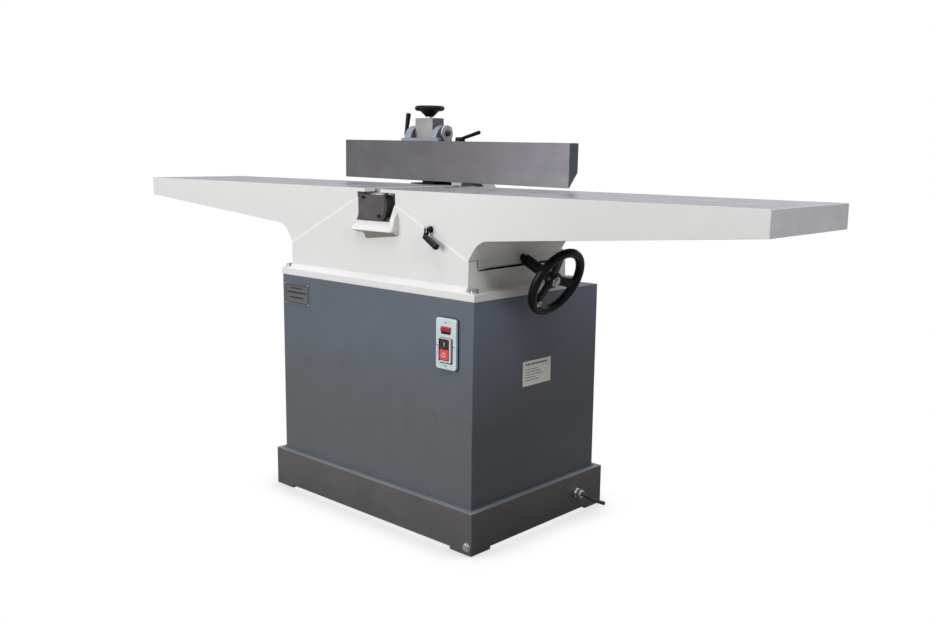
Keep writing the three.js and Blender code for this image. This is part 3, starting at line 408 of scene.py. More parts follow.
SEAM = Mat("seam_white_line", (0.93, 0.93, 0.93, 1), 0.45).mottle(40, 0.3, (0.76, 0.75, 0.72, 1)).done()


# =====================================================================  mesh helpers
def cad_bm(node, merged=True):
    bm = bmesh.new()
    bm.from_mesh(nodes[node].data)
    bmesh.ops.remove_doubles(bm, verts=bm.verts, dist=3e-6)
    if merged:
        bmesh.ops.dissolve_limit(bm, angle_limit=math.radians(0.6), verts=bm.verts[:], edges=bm.edges[:])
        bmesh.ops.dissolve_degenerate(bm, dist=2e-6, edges=bm.edges[:])
    bm.normal_update()
    return bm


def sound(bm, tree, width_mm, lo, hi, area):
    """Whether a rounded copy still follows the solid it came from."""
    total = 0.0
    for v in bm.verts:
        if any(v.co[i] < lo[i] - 2e-4 or v.co[i] > hi[i] + 2e-4 for i in range(3)):
            return False
        d = tree.find_nearest(v.co)[3]
        if d is None or d > 0.75 * width_mm * MM + 2e-5:
            return False
    t = bm.copy()
    bmesh.ops.triangulate(t, faces=t.faces[:])
    t.normal_update()
    good = True
    for f in t.faces:
        a = f.calc_area()
        total += a
        if a > 8e-7:
            hit = tree.find_nearest_range(f.calc_center_median(), 1.2 * width_mm * MM + 2e-5)
            if not hit or max(h[1].dot(f.normal) for h in hit) < 0.35:
                good = False
                break
    t.free()
    return good and 0.93 < total / area < 1.0004


def rounded_copy(node, width_mm, segs=2, angle=34, where=None, fn=None):
    """The CAD solid with its sharp edges rounded as far as its finest detail allows."""
    src = cad_bm(node, False)
    tree = BVHTree.FromBMesh(src)
    lo = [min(v.co[i] for v in src.verts) for i in range(3)]
    hi = [max(v.co[i] for v in src.verts) for i in range(3)]
    area = sum(f.calc_area() for f in src.faces)
    src.free()
    tries = [(share, least) for least in (0.2, 9, 26, 60) for share in (1.0, 0.6, 0.35)]
    tries.sort(key=lambda t: t[1] - 40 * t[0])
    for share, least in tries:
        def long_enough(e):
            return e.calc_length() > least * MM and (where is None or where(e))

        for merged in (True, False):
            bm = cad_bm(node, merged)
            if fn:
                paint(bm, fn)
            bevel(bm, width_mm * share, segs, angle, long_enough, False)
            if sound(bm, tree, width_mm * share, lo, hi, area):
                return bm, share
            bm.free()
    bm = cad_bm(node, False)
    if fn:
        paint(bm, fn)
    return bm, 0.0


def bevel(bm, width_mm, segs=2, angle=34, where=None, clamp=True):
    edges = [
        e
        for e in bm.edges
        if len(e.link_faces) == 2
        and e.calc_face_angle(0) > math.radians(angle)
        and e.calc_length() > 0.0002
        and (where is None or where(e))
    ]
    if edges:
        bmesh.ops.bevel(
            bm, geom=edges, offset=width_mm * MM, offset_type="OFFSET", segments=segs, profile=0.5,
            affect="EDGES", clamp_overlap=clamp, material=-1, loop_slide=True, face_strength_mode="AFFECTED",
        )
    return bm


def paint(bm, fn):
    for f in bm.faces:
        f.material_index = fn(f)
    return bm


def append(main, part, material=None):
    if material is not None:
        for f in part.faces:
            f.material_index = material
    me = bpy.data.meshes.new("tmp")
    part.to_mesh(me)
    part.free()
    main.from_mesh(me)
    bpy.data.meshes.remove(me)
    return main


def make(name, bm, mats, body, stands_for=(), smooth=32, weighted=True, influence=False):
    me = bpy.data.meshes.new(name)
    bm.to_mesh(me)
    bm.free()
    for m in mats if isinstance(mats, (list, tuple)) else [mats]:
        me.materials.append(m)
    me.polygons.foreach_set("use_smooth", [True] * len(me.polygons))
    me.set_sharp_from_angle(angle=math.radians(smooth))
    ob = bpy.data.objects.new(name, me)
    bpy.context.scene.collection.objects.link(ob)
    if weighted:
        wn = ob.modifiers.new("normals", "WEIGHTED_NORMAL")
        wn.mode = "FACE_AREA"
        wn.weight = 60
        wn.keep_sharp = True
        wn.use_face_influence = influence
    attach(ob, body)
    if stands_for:
        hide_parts(*stands_for)
    return ob


def refine(node, mats, width=1.2, segs=2, angle=34, fn=None, smooth=32, name=None, where=None):
    """A finer copy of a CAD node: welded, flat faces merged, edges rounded."""
    bm, share = rounded_copy(node, width, segs, angle, where, fn)
    if not share:
        smooth = 12
    return make(name or node + "_fine", bm, mats, node_body[node], [node], smooth, influence=True)


def basis(origin, z, x=None):
    """Local millimetres, with +Z along z, to frame metres at a layout point."""
    z = Vector(z).normalized()
    if x is None:
        x = Vector((0, 0, 1)) if abs(z.z) < 0.9 else Vector((1, 0, 0))
    x = Vector(x)
    x = (x - z * x.dot(z)).normalized()
    y = z.cross(x)
    rot = Matrix((x, y, z)).transposed().to_4x4()
    return Matrix.Translation(P(*origin)) @ rot @ Matrix.Scale(MM, 4)


def soften(prof, c, n=3):
    """Rounds the inner corners of an open profile."""
    out = []
    for i, p in enumerate(prof):
        if i in (0, len(prof) - 1):
            out.append(p)
            continue
        a, b, d = Vector(prof[i - 1]), Vector(p), Vector(prof[i + 1])
        u, v = a - b, d - b
        if u.length < 1e-6 or v.length < 1e-6:
            continue
        if u.angle(v) > math.radians(162):
            out.append(p)
            continue
        w = min(c, 0.45 * u.length, 0.45 * v.length)
        s, e = b + u.normalized() * w, b + v.normalized() * w
        for k in range(n + 1):
            t = k / n
            q = s * (1 - t) ** 2 + b * 2 * t * (1 - t) + e * t**2
            out.append((q.x, q.y))
    return out


def lathe(prof, m, segs=48, round_=0.0, closed=False, wobble=None):
    """Surface of revolution about the local Z axis."""
    if round_:
        if closed:
            ext = [prof[-1]] + list(prof) + [prof[0]]
            prof = soften(ext, round_)[1:-1]
        else:
            prof = soften(prof, round_)
    bm = bmesh.new()
    rings = []
    for r, h in prof:
        if r < 1e-6:
            rings.append([bm.verts.new(m @ Vector((0, 0, h)))])
        else:
            ring = []
            for i in range(segs):
                a = 2 * math.pi * i / segs
                k = wobble(a, r, h) if wobble else 1
                ring.append(bm.verts.new(m @ Vector((r * k * math.cos(a), r * k * math.sin(a), h))))
            rings.append(ring)
    pairs = list(zip(rings, rings[1:]))
    if closed:
        pairs.append((rings[-1], rings[0]))
    for a, b in pairs:
        if len(a) == 1 and len(b) == 1:
            continue
        for i in range(segs):
            j = (i + 1) % segs
            if len(a) == 1:
                bm.faces.new((a[0], b[j], b[i]))
            elif len(b) == 1:
                bm.faces.new((a[i], a[j], b[0]))
            else:
                bm.faces.new((a[i], a[j], b[j], b[i]))
    bmesh.ops.recalc_face_normals(bm, faces=bm.faces[:])
    return bm


def rod(a, b, r0, r1, segs=32, round_=1.5, prof=None):
    """A turned bar between two layout points."""
    a, b = Vector(a), Vector(b)
    l = (b - a).length
    prof = prof(l) if prof else [(0, 0), (r0, 0), (r1, l), (0, l)]
    return lathe(prof, basis(a, b - a), segs, round_)


def prism(points, m, h0, h1, width=0.0, segs=2, angle=34):
    """Polygon in the local XY plane drawn out along local Z."""
    bm = bmesh.new()
    lo = [bm.verts.new(m @ Vector((x, y, h0))) for x, y in points]
    hi = [bm.verts.new(m @ Vector((x, y, h1))) for x, y in points]
    bm.faces.new(lo[::-1])
    bm.faces.new(hi)
    n = len(points)
    for i in range(n):
        j = (i + 1) % n
        bm.faces.new((lo[i], lo[j], hi[j], hi[i]))
    bmesh.ops.recalc_face_normals(bm, faces=bm.faces[:])
    if width:
        bevel(bm, width, segs, angle)
    return bm


def arc(cx, cy, r, a0, a1, n):
    return [
        (cx + r * math.cos(math.radians(a0 + (a1 - a0) * i / n)), cy + r * math.sin(math.radians(a0 + (a1 - a0) * i / n)))
        for i in range(n + 1)
    ]


def rrect(x0, x1, y0, y1, r, n=8):
    return (
        arc(x1 - r, y0 + r, r, -90, 0, n) + arc(x1 - r, y1 - r, r, 0, 90, n)
        + arc(x0 + r, y1 - r, r, 90, 180, n) + arc(x0 + r, y0 + r, r, 180, 270, n)
    )


def cube(x0, x1, y0, y1, z0, z1, width=0.0, segs=2):
    m = SHIFT
    return prism([(x0, y0), (x1, y0), (x1, y1), (x0, y1)], m, z0, z1, width, segs)


def hexpts(r, turn=0):
    return [(r * math.cos(math.radians(60 * i + turn)), r * math.sin(math.radians(60 * i + turn))) for i in range(6)]


def hex_head(m, r, h0, h1, turn=0, top=True):
    """Hexagon with the turned chamfer of a bolt head, as an intersection of prism and cone rings."""
    segs = 48
    bm = bmesh.new()
    c = r * 0.16
    flat = r * math.cos(math.radians(30))

    def edge_radius(a):
        k = (math.degrees(a) - turn) % 60 - 30
        return flat / math.cos(math.radians(k))

    def ring(h, limit):
        return [
            bm.verts.new(m @ Vector((min(edge_radius(a), limit) * math.cos(a), min(edge_radius(a), limit) * math.sin(a), h)))
            for a in (2 * math.pi * i / segs for i in range(segs))
        ]

    rows = [ring(h0, 1e9)]
    s = 1 if h1 > h0 else -1
    if top:
        # the chamfer falls away from the flats towards the corners
        rows.append([
            bm.verts.new(
                m @ Vector((edge_radius(a) * math.cos(a), edge_radius(a) * math.sin(a), h1 - s * max(0.15, (edge_radius(a) - flat) * 0.9)))
            )
            for a in (2 * math.pi * i / segs for i in range(segs))
        ])
        rows.append(ring(h1, flat * 0.97))
    else:
        rows.append(ring(h1, 1e9))
    for a, b in zip(rows, rows[1:]):
        for i in range(segs):
            j = (i + 1) % segs
            bm.faces.new((a[i], a[j], b[j], b[i]))
    bm.faces.new(rows[0])
    bm.faces.new(rows[-1])
    bmesh.ops.recalc_face_normals(bm, faces=bm.faces[:])
    return bm


def torus(R, r, m, n=96, k=24, squash=1.0):
    bm = bmesh.new()
    rows = []
    for i in range(n):
        a = 2 * math.pi * i / n
        row = []
        for j in range(k):
            b = 2 * math.pi * j / k
            rr = R + r * math.cos(b)
            row.append(bm.verts.new(m @ Vector((rr * math.cos(a), rr * math.sin(a), r * squash * math.sin(b)))))
        rows.append(row)
    for i in range(n):
        for j in range(k):
            bm.faces.new((rows[i][j], rows[(i + 1) % n][j], rows[(i + 1) % n][(j + 1) % k], rows[i][(j + 1) % k]))
    bmesh.ops.recalc_face_normals(bm, faces=bm.faces[:])
    return bm


def sweep(points, radius, segs=16, steps=40, closed_ends=True):
    """Round bar along a smooth curve through layout points."""
    pts = [P(*p) for p in points]
    curve = []
    for i in range(len(pts) - 1):
        p0 = pts[max(i - 1, 0)]
        p1, p2 = pts[i], pts[i + 1]
        p3 = pts[min(i + 2, len(pts) - 1)]
        n = max(2, steps // (len(pts) - 1))
        for k in range(n):
            t = k / n
            curve.append(
                0.5 * ((2 * p1) + (p2 - p0) * t + (2 * p0 - 5 * p1 + 4 * p2 - p3) * t * t + (3 * p1 - p0 - 3 * p2 + p3) * t**3)
            )
    curve.append(pts[-1])
    bm = bmesh.new()
    rows = []
    up = Vector((0, 0, 1))
    for i, c in enumerate(curve):
        d = (curve[min(i + 1, len(curve) - 1)] - curve[max(i - 1, 0)]).normalized()
        x = (up - d * up.dot(d)).normalized()
        y = d.cross(x)
        rows.append([
            bm.verts.new(c + (x * math.cos(2 * math.pi * j / segs) + y * math.sin(2 * math.pi * j / segs)) * radius * MM)
            for j in range(segs)
        ])
    for a, b in zip(rows, rows[1:]):
        for j in range(segs):
            bm.faces.new((a[j], a[(j + 1) % segs], b[(j + 1) % segs], b[j]))
    bm.faces.new(rows[0])
    bm.faces.new(rows[-1])
    bmesh.ops.recalc_face_normals(bm, faces=bm.faces[:])
    return bm


AX_X = (1, 0, 0)
AX_Y = (0, 1, 0)
AX_Z = (0, 0, 1)
FRONT = (0, -1, 0)

# =====================================================================  plinth and cabinet
# painted highlight: the plinth's upward faces near its top take the lighter ledge copy
refine("plinth", [PLINTH, PLINTH_LEDGE_HIGHLIGHT], 2.2, 3, fn=lambda f: 1 if f.normal.z > 0.6 and f.calc_center_median().z > 0.09 else 0)
refine("cabinet_shell", BLUE_GREY, 1.0, 2, angle=40)
refine("rear_access_panel", BLUE_GREY, 0.6, 2)

# folded return along the plinth's top edge, where the cabinet stands on it
bm = bmesh.new()
for x0, x1, y0, y1 in ((-351, 351, -236.5, -233.7), (-351, 351, 233.7, 236.5), (-351, -348.2, -233.7, 233.7), (348.2, 351, -233.7, 233.7)):
    append(bm, cube(x0, x1, y0, y1, 101.05, 103.4, 0.7, 2))
make("cabinet_foot_bead", bm, FOOT_BEAD, "stand")

# plinth levelling bolt at the front right corner, and small fixings
bm = append(bmesh.new(), lathe([(0, 0), (11, 0), (11, 2), (0, 2)], basis((352, -250.6, 20), FRONT), 40, 0.5))
append(bm, hex_head(basis((352, -252.4, 20), FRONT), 9, 0, 5))
make("plinth_bolt", bm, STEEL, "stand")
for i, (x, z) in enumerate(((-200, 152), (200, 152), (-200, 518), (200, 518), (0, 152), (0, 518))):
    m = basis((x, 235.9, z), AX_Y)
    bm = lathe([(0, 2.4), (2.6, 2.2), (4.6, 0.9), (5, 0), (0, 0)], m, 32, 0.3)
    append(bm, cube(x - 3.4, x + 3.4, 238.05, 238.5, z - 0.6, z + 0.6), 1)
    append(bm, cube(x - 0.6, x + 0.6, 238.05, 238.5, z - 3.4, z + 3.4), 1)
    make(f"rear_panel_screw_{i + 1}", bm, [STEEL, DARK_STEEL], "stand")

# =====================================================================  stand
def stand_paint(f):
    c = f.calc_center_median()
    x, z = abs(c.x) * 1000, c.z * 1000
    y = (c.y - DY) * 1000
    if 300 < x < 320.5 and 601 < z and abs(f.normal.x) > 0.9:
        return 1
    if 300 < x < 320.5 and 605 < z < 653 and -194 < y < 106:
        return 1
    if z < 598 and -230 < y < 130 and abs(f.normal.z) < 0.99:
        return 1 if x < 318 else 0
    if y < -221.6 and 690 < z < 770:  # chip lip: painted shade underneath, and a slightly darker painted-shade copy of the white on its flanks
        n = f.normal
        if n.z < -0.15:
            return 3
        if n.x > 0.5 or n.x < -0.5:
            return 4
    if f.normal.z > 0.8 and 660 < z and -222 < y < 133 and x < 320 and abs(f.normal.x) > 0.3:
        return 2  # machined ways
    return 0


def stand_edge(e):
    """Outer corners and flange outline; the small edges of the chip lip and the throat stay as cast."""
    flange = corner = step = True
    for v in e.verts:
        x, y, z = abs(v.co.x) * 1000, (v.co.y - DY) * 1000, v.co.z * 1000
        flange &= z < 600.6 and (x > 349.5 or y < -233 or y > 139.5)
        corner &= 319.5 < x < 320.5 and (-222 < y < -221 or 132.5 < y < 133.5) and z > 599
        step &= y < -221 and z < 613.6 and x < 320.5
    return flange or corner or step


refine("base_casting", [WHITE, WHITE_ROUGH, BLOCK_STEEL, LIP_UNDER_SHADE, LIP_SIDE_SHADE], 2.4, 3, fn=stand_paint, where=stand_edge)

SEAM_Z0, TAN = 822.5, math.tan(math.radians(25.6))


def seam(x):
    return SEAM_Z0 - TAN * abs(x)


# bright white line along the seam between stand and tables, on the stand's edge
for side, x_in in ((1, 84), (-1, 54)):
    a, b = (side * x_in, seam(x_in) - 0.7), (side * 319, seam(319) - 0.7)
    bm = bmesh.new()
    w = 2.0
    d = Vector((b[0] - a[0], b[1] - a[1])).normalized()
    nrm = Vector((-d.y, d.x))
    if nrm.y < 0:
        nrm = -nrm
    pts = [
        (a[0] - nrm.x * w, a[1] - nrm.y * w), (b[0] - nrm.x * w, b[1] - nrm.y * w),
        (b[0] + nrm.x * w, b[1] + nrm.y * w), (a[0] + nrm.x * w, a[1] + nrm.y * w),
    ]
    # local x,y = layout x,z and local z = front
    m = Matrix.Translation(P(0, 0, 0)) @ Matrix(((1, 0, 0, 0), (0, 0, -1, 0), (0, 1, 0, 0), (0, 0, 0, 1))) @ Matrix.Scale(MM, 4)
    if side < 0:
        pts = pts[::-1]
    append(bm, prism(pts, m, 221.0, 221.74, 0.2, 2))
    make("seam_line_" + ("right" if side > 0 else "left"), bm, SEAM, "stand")

# painted shadow: a near-black strip along the joint above the rough end faces, where the table's underside closes the
# stand
for side in (-1, 1):
    bm = bmesh.new()
    pts = [(-188, 646.8), (-150, 649.4), (-40, 650.9), (98, 651.6), (98, 647.2), (-40, 645.6), (-150, 645.0), (-186, 644.6)]
    mx_ = Matrix.Translation(P(0, 0, 0)) @ Matrix(((0, 0, 1, 0), (1, 0, 0, 0), (0, 1, 0, 0), (0, 0, 0, 1))) @ Matrix.Scale(MM, 4)
    x0, x1 = (316.4, 317.5) if side > 0 else (-317.5, -316.4)
    append(bm, prism(pts, mx_, x0, x1, 0.2, 1))
    make("end_shadow_strip_" + ("right" if side > 0 else "left"), bm, DARK_CAST_AND_SHADE, "stand")

k = 1
for sx in (-1, 1):
    for y in (-217, 127):
        x = sx * 335
        m = basis((x, y, 600.3), AX_Z)
        bm = lathe([(0, 0), (11.5, 0), (11.5, 2.2), (0, 2.2)], m, 40, 0.5)
        append(bm, hex_head(basis((x, y, 602.4), AX_Z), 10.5, 0, 7.6, turn=11 * k))
        append(bm, lathe([(0, -34), (6, -34), (6, 0.2), (0, 0.2)], m, 24, 0.5))
        make(f"base_bolt_{k}_fine", bm, STEEL, "stand", [f"base_bolt_{k}"])
        k += 1

# =====================================================================  tables
def table_paint(f):
    c, n = f.calc_center_median(), f.normal
    if n.z > 0.9 and c.z > 0.8175:
        return 1
    if n.y < -0.7:
        return 0
    if abs(n.x) > 0.99 and abs(c.x) > 1.0245:
        return 2
    if n.z < -0.5 and abs(c.x) < 0.321:
        return 2
    return 0


refine("infeed_table", [WHITE, TABLE_TOP, TABLE_END], 1.4, 2, fn=table_paint)
refine("outfeed_table", [WHITE, TABLE_TOP, TABLE_END], 1.4, 2, fn=table_paint)
for n in ("infeed_gib", "outfeed_gib", "infeed_nut", "outfeed_nut"):
    refine(n, GUNMETAL, 0.5, 2)

# =====================================================================  cutterhead
HEAD_Z = 778
my = basis((0, 0, HEAD_Z), AX_Y)


def ylathe(prof, z, segs=64, round_=0.6, closed=False):
    return lathe(prof, basis((0, 0, z), AX_Y), segs, round_, closed)


refine("cutterhead", STEEL, 0.5, 2, angle=50, smooth=30)
for i in (1, 2, 3):
    refine(f"knife_{i}", STEEL, 0.2, 1, angle=50)
    refine(f"knife_wedge_{i}", DARK_STEEL, 0.6, 2)
for n, y0, y1 in (("front_bearing", -212.2, -196), ("rear_bearing", 116.3, 134)):
    bm = bmesh.new()
    append(bm, ylathe([(15.3, y0), (20, y0), (20, y1), (15.3, y1)], HEAD_Z, 56, 0.5, True))
    append(bm, ylathe([(26, y0), (31, y0), (31, y1), (26, y1)], HEAD_Z, 56, 0.5, True))
    append(bm, ylathe([(20.1, y0 + 1), (25.9, y0 + 1), (25.9, y1 - 1), (20.1, y1 - 1)], HEAD_Z, 56, 0.2, True), 1)
    make(n + "_fine", bm, [STEEL, DARK_STEEL], "stand", [n])


def flat_side(r, x0, z0, z1, n=40):
    a1 = math.degrees(math.asin((z1 - HEAD_Z) / r))
    a0 = math.degrees(math.asin((z0 - HEAD_Z) / r))
    return [(x0, z0)] + arc(0, HEAD_Z, r, a0, a1, n) + [(x0, z1)]


# local x, y = layout x, z; local z towards the front
MF = Matrix.Translation(P(0, 0, 0)) @ Matrix(((1, 0, 0, 0), (0, 0, -1, 0), (0, 1, 0, 0), (0, 0, 0, 1))) @ Matrix.Scale(MM, 4)
refine("front_bearing_housing", HEAD_DARK, 0.9, 2)
bm = bmesh.new()
append(bm, prism(flat_side(50, -49.4, 742.6, 805), MF, 215.9, 220.9, 0.8, 3))
append(bm, prism(flat_side(46.5, -46.5, 745, 803), MF, 220.6, 223, 0.9, 3))
make("front_bearing_cover_fine", bm, HEAD_GREY, "stand", ["front_bearing_cover"])
for i, (x, z) in enumerate(((-29, 799), (27.5, 755))):
    m = basis((x, -223.3, z), FRONT)
    bm = lathe([(0, 2.2), (2.3, 2.2), (2.3, 4.7), (4.8, 4.7), (4.8, 0), (2.5, 0), (2.5, -17), (0, -17)], m, 40, 0.35)
    make(f"cover_screw_{i + 1}_fine", bm, DARK_STEEL, "stand", [f"cover_screw_{i + 1}"])
refine("rear_bearing_housing", HEAD_GREY, 1.0, 2)

# =====================================================================  drive
for n, r, bore, z in (("cutterhead_pulley", 35, 15.3, HEAD_Z), ("motor_pulley", 60, 14.3, 260)):
    prof = [(bore, 150), (r, 150), (r, 157), (r - 8, 157.6), (r - 8, 172.4), (r, 173), (r, 180), (bore, 180)]
    make(n + "_fine", ylathe(prof, z, 72, 0.9, True), CAST_BLUE, node_body[n], [n])
refine("drive_belt", RUBBER, 1.2, 2, smooth=40)
# belt guard: painted shade on its upper faces and a painted lighter copy on its right slope
refine("belt_guard", [BLUE_GREY, DARK_CAST_AND_SHADE, GUARD_SLOPE_LIGHT], 0.8, 2, fn=lambda f: 0 if f.calc_center_median().z < 0.79 else 2 if f.normal.x > 0.3 and f.normal.z > 0.1 else 1)
refine("motor_body", MOTOR, 1.0, 2)
refine("motor_rotor", STEEL, 0.6, 2)
refine("motor_mount", DARK_CAST_AND_SHADE, 0.9, 2)
refine("chip_chute", SHEET, 0.5, 2)
# rolled bead round the mouth of the dust port and its flange screws
bm = append(bmesh.new(), torus(49.6, 1.9, basis((-374.2, -40, 440), (-1, 0, 0)), 96, 12))
make("dust_port_bead", bm, SHEET, "stand")
for i in range(4):
    a = math.radians(45 + 90 * i)
    m = basis((-351.4, -40 + 56 * math.cos(a), 440 + 56 * math.sin(a)), (-1, 0, 0))
    make(f"dust_port_screw_{i + 1}", lathe([(0, 2.3), (2.4, 2.1), (4.2, 0.8), (4.4, 0), (0, 0)], m, 28, 0.3), STEEL, "stand")

# =====================================================================  handwheel and screws
ALONG = (math.cos(math.radians(25.6)), 0, -math.sin(math.radians(25.6)))
UPWARD = (math.sin(math.radians(25.6)), 0, math.cos(math.radians(25.6)))
T_END = (320 - 423) / ALONG[0]
MW = basis((423, -33, 616.4), ALONG, UPWARD)
MO = basis((-423, -33, 616.4), (-ALONG[0], 0, ALONG[2]), (-UPWARD[0], 0, UPWARD[2]))


def screw_profile(end):
    pts = [(0, -330), (6.8, -330)]
    t = -327
    while t < -215:  # thread form, drawn as close rings
        pts += [(8, t), (8, t + 0.9), (6.9, t + 2.0), (6.9, t + 2.9)]
        t += 4
    pts += [(8, -212)] + end
    return pts


end_in = [(8, T_END + 6.6), (12.4, T_END + 8.8), (13.5, T_END + 10.6), (13.5, -46), (12.8, -45.4), (12.8, -43.4), (13.5, -42.8), (13.5, -24.3), (9.6, -24.3), (9.6, -4.2), (0, -4.2)]
make("infeed_screw_fine", lathe(screw_profile(end_in), MW, 48, 0.5), BLACK, "handwheel", ["infeed_screw"])
end_out = [(8, T_END + 11), (13.5, T_END + 11), (13.5, T_END + 17.5), (0, T_END + 17.5)]
bm = lathe(screw_profile(end_out), MO, 48, 0.5)
append(bm, hex_head(MO, 10, T_END + 17.3, T_END + 29))
make("outfeed_screw_fine", bm, STEEL, "outfeed_screw", ["outfeed_screw"])

RIM_R, RIM, BUSH_R = 76.4, 10.5, 66
ANGLES = (-129.5, -9.5, 110.5)  # from +Y towards up
bush = math.radians(ANGLES[0] - 90)
bx, by = BUSH_R * math.cos(bush), BUSH_R * math.sin(bush)


def spoke(m, n=26, k=28):
    """Cast spoke: dished from the hub out to the rim, waisted, with a rounded section."""
    bm = bmesh.new()
    rows = []
    for i in range(n + 1):
        t = i / n
        r = 15 + t * (RIM_R - 3 - 15)
        q = min(1, max(0, (r - 13) / (RIM_R - 27)))
        q = q * q * (3 - 2 * q) * 0.35 + q * 0.65
        lo, hi = -19 + 10 * q, -7 + 9 * q
        w = 12.9 - 1.5 * math.sin(math.pi * min(1, t * 1.05)) ** 0.8 + 1.6 * t**5
        c, h = (lo + hi) / 2, (hi - lo) / 2
        row = []
        for j in range(k):
            a = 2 * math.pi * j / k
            ca, sa = math.cos(a), math.sin(a)
            y = w * math.copysign(abs(ca) ** 0.62, ca)
            z = c + h * math.copysign(abs(sa) ** 0.72, sa)
            row.append(bm.verts.new(m @ Vector((r, y, z))))
        rows.append(row)
    for u, v in zip(rows, rows[1:]):
        for j in range(k):
            bm.faces.new((u[j], u[(j + 1) % k], v[(j + 1) % k], v[j]))
    bm.faces.new(rows[0])
    bm.faces.new(rows[-1])
    bmesh.ops.recalc_face_normals(bm, faces=bm.faces[:])
    return bm


bm = torus(RIM_R, RIM, MW @ Matrix.Translation((0, 0, -1.5)), 224, 56)
back = MW.inverted()
for v in bm.verts:  # spot face for the bush
    q = back @ v.co
    if math.hypot(q.x - bx, q.y - by) < 8.5 and q.z > 5.0:
        q.z = 5.0
        v.co = MW @ q
for a in ANGLES:
    append(bm, spoke(MW @ Matrix.Rotation(math.radians(a - 90), 4, "Z")))
append(bm, lathe([(10.1, -24), (17, -24), (20.5, -18), (20.5, -7), (18, -4), (10.1, -4)], MW, 64, 1.6, True))
append(bm, lathe([(6.3, -8), (10, -8), (10.5, 5), (6.3, 5)], MW @ Matrix.Translation((bx, by, 0)), 48, 0.8, True))
make("handwheel_fine", bm, BLACK, "handwheel", ["handwheel"], smooth=40)
mb = MW @ Matrix.Translation((bx, by, 0))
make("handle_bush_fine", lathe([(3.6, -7.5), (6, -7.5), (6, 5.2), (7.6, 5.3), (7.6, 6.0), (7.2, 6.4), (4.2, 6.4), (3.6, 5.8)], mb, 48, 0.3, True), STEEL, "handwheel", ["handle_bush"])
bm = lathe([(0, -3.7), (12.4, -3.7), (12.4, -1.9), (0, -1.9)], MW, 56, 0.5)
append(bm, hex_head(MW, 9, -2.1, 2.6, turn=17))
append(bm, lathe([(0, 2), (4.2, 2), (4.2, 2.8), (3.6, 3.2), (0, 3.2)], MW, 28, 0.2))
make("handwheel_nut_fine", bm, STEEL, "handwheel", ["handwheel_nut"])

# =====================================================================  lever handles
def grip(a, b, r0, r1):
    """Tapered moulded grip with a domed end."""
    def prof(l):
        return [(0, 0), (r0 * 0.72, 0), (r0, 3), (r1 * 0.97, l - r1 * 1.3), (r1, l - r1 * 0.9), (r1 * 0.93, l - r1 * 0.42), (r1 * 0.66, l - r1 * 0.12), (0, l)]
    return rod(a, b, r0, r1, 40, 1.2, prof)


LX, LZ = 202, 733.8
bm = bmesh.new()
append(bm, rod((LX, -196, LZ), (LX, -225, LZ), 4, 4, 28, 0.4), 1)
append(bm, lathe([(0, 0), (8.2, 0), (8.2, 1.6), (5.6, 2.2), (5.6, 5.2), (6.6, 5.8), (6.6, 15.2), (5.8, 16.2), (0, 16.2)], basis((LX, -221.8, LZ), FRONT), 56, 0.4), 0)
append(bm, cube(LX - 3.4, LX + 3.4, -239.0, -228, LZ - 7.6, LZ + 8.6, 1.2, 3), 1)
append(bm, lathe([(0, 0), (2.5, 0), (2.5, 1.2), (0, 1.2)], basis((LX, -238.9, LZ), FRONT), 32, 0.3), 0)
append(bm, rod((LX, -233, LZ), (199, -236, 717), 6, 5.4, 32, 0.8), 0)
append(bm, grip((196, -236.5, 719), (243, -241, 695.5), 6.6, 8.2), 0)
make("infeed_lock_lever_fine", bm, [BLACK, STEEL], "infeed_lock", ["infeed_lock_lever"])

PIN_Y, PIN_Z = 160, 958
bm = bmesh.new()
append(bm, lathe([(0, 0), (12, 0), (13, 1.4), (13, 24), (11.4, 27.6), (8.5, 29.2), (0, 29.2)], basis((-251.8, PIN_Y, PIN_Z), (-1, 0, 0)), 56, 1.2))
append(bm, grip((-282, PIN_Y - 1.5, PIN_Z - 4), (-281, 168, 1016.5), 4.9, 7.2))
make("tilt_lock_lever_fine", bm, BLACK, "tilt_lock", ["tilt_lock_lever"])

bm = bmesh.new()
append(bm, lathe([(0, 0), (12.4, 0), (13.5, 1.4), (13.5, 9.6), (11.6, 13), (8, 14), (0, 14)], basis((-70, PIN_Y, 934), AX_Z), 56, 1.0))
append(bm, lathe([(0, -26), (4, -26), (4, 1), (0, 1)], basis((-70, PIN_Y, 934), AX_Z), 24, 0.3), 1)
append(bm, grip((-66, PIN_Y, 943.4), (3, PIN_Y, 961), 4.4, 5.3))
make("slide_lock_lever_fine", bm, [BLACK, STEEL], "slide_lock", ["slide_lock_lever"])

# =====================================================================  fence
def fence_paint(f):
    n = f.normal
    if n.y < -0.9 or (n.z > 0.9 and f.calc_center_median().z > 0.93):
        return 0
    return 1


refine("fence_plate", [FENCE_FACE, FENCE_PAINT], 0.8, 2, fn=fence_paint)
# painted shade: the bracket's upper faces across X take a dark copy of the casting
refine("fence_bracket", [CAST_BLUE, EAR_FLANK_SHADE], 1.6, 3, fn=lambda f: 1 if abs(f.normal.x) > 0.8 and f.calc_center_median().z > 0.93 else 0)
# painted shade: the block's side faces take a darker copy of its steel
refine("fence_carriage", [BLOCK_STEEL, FLANK_SHADE], 1.4, 3, fn=lambda f: 1 if abs(f.normal.x) > 0.8 else 0)


# painted shade: faces above 812 mm take the near-black material
def support_paint(f):
    return 1 if f.calc_center_median().z > 0.812 else 0


refine("fence_support", [SUPPORT, DARK_CAST_AND_SHADE], 1.8, 3, fn=support_paint)
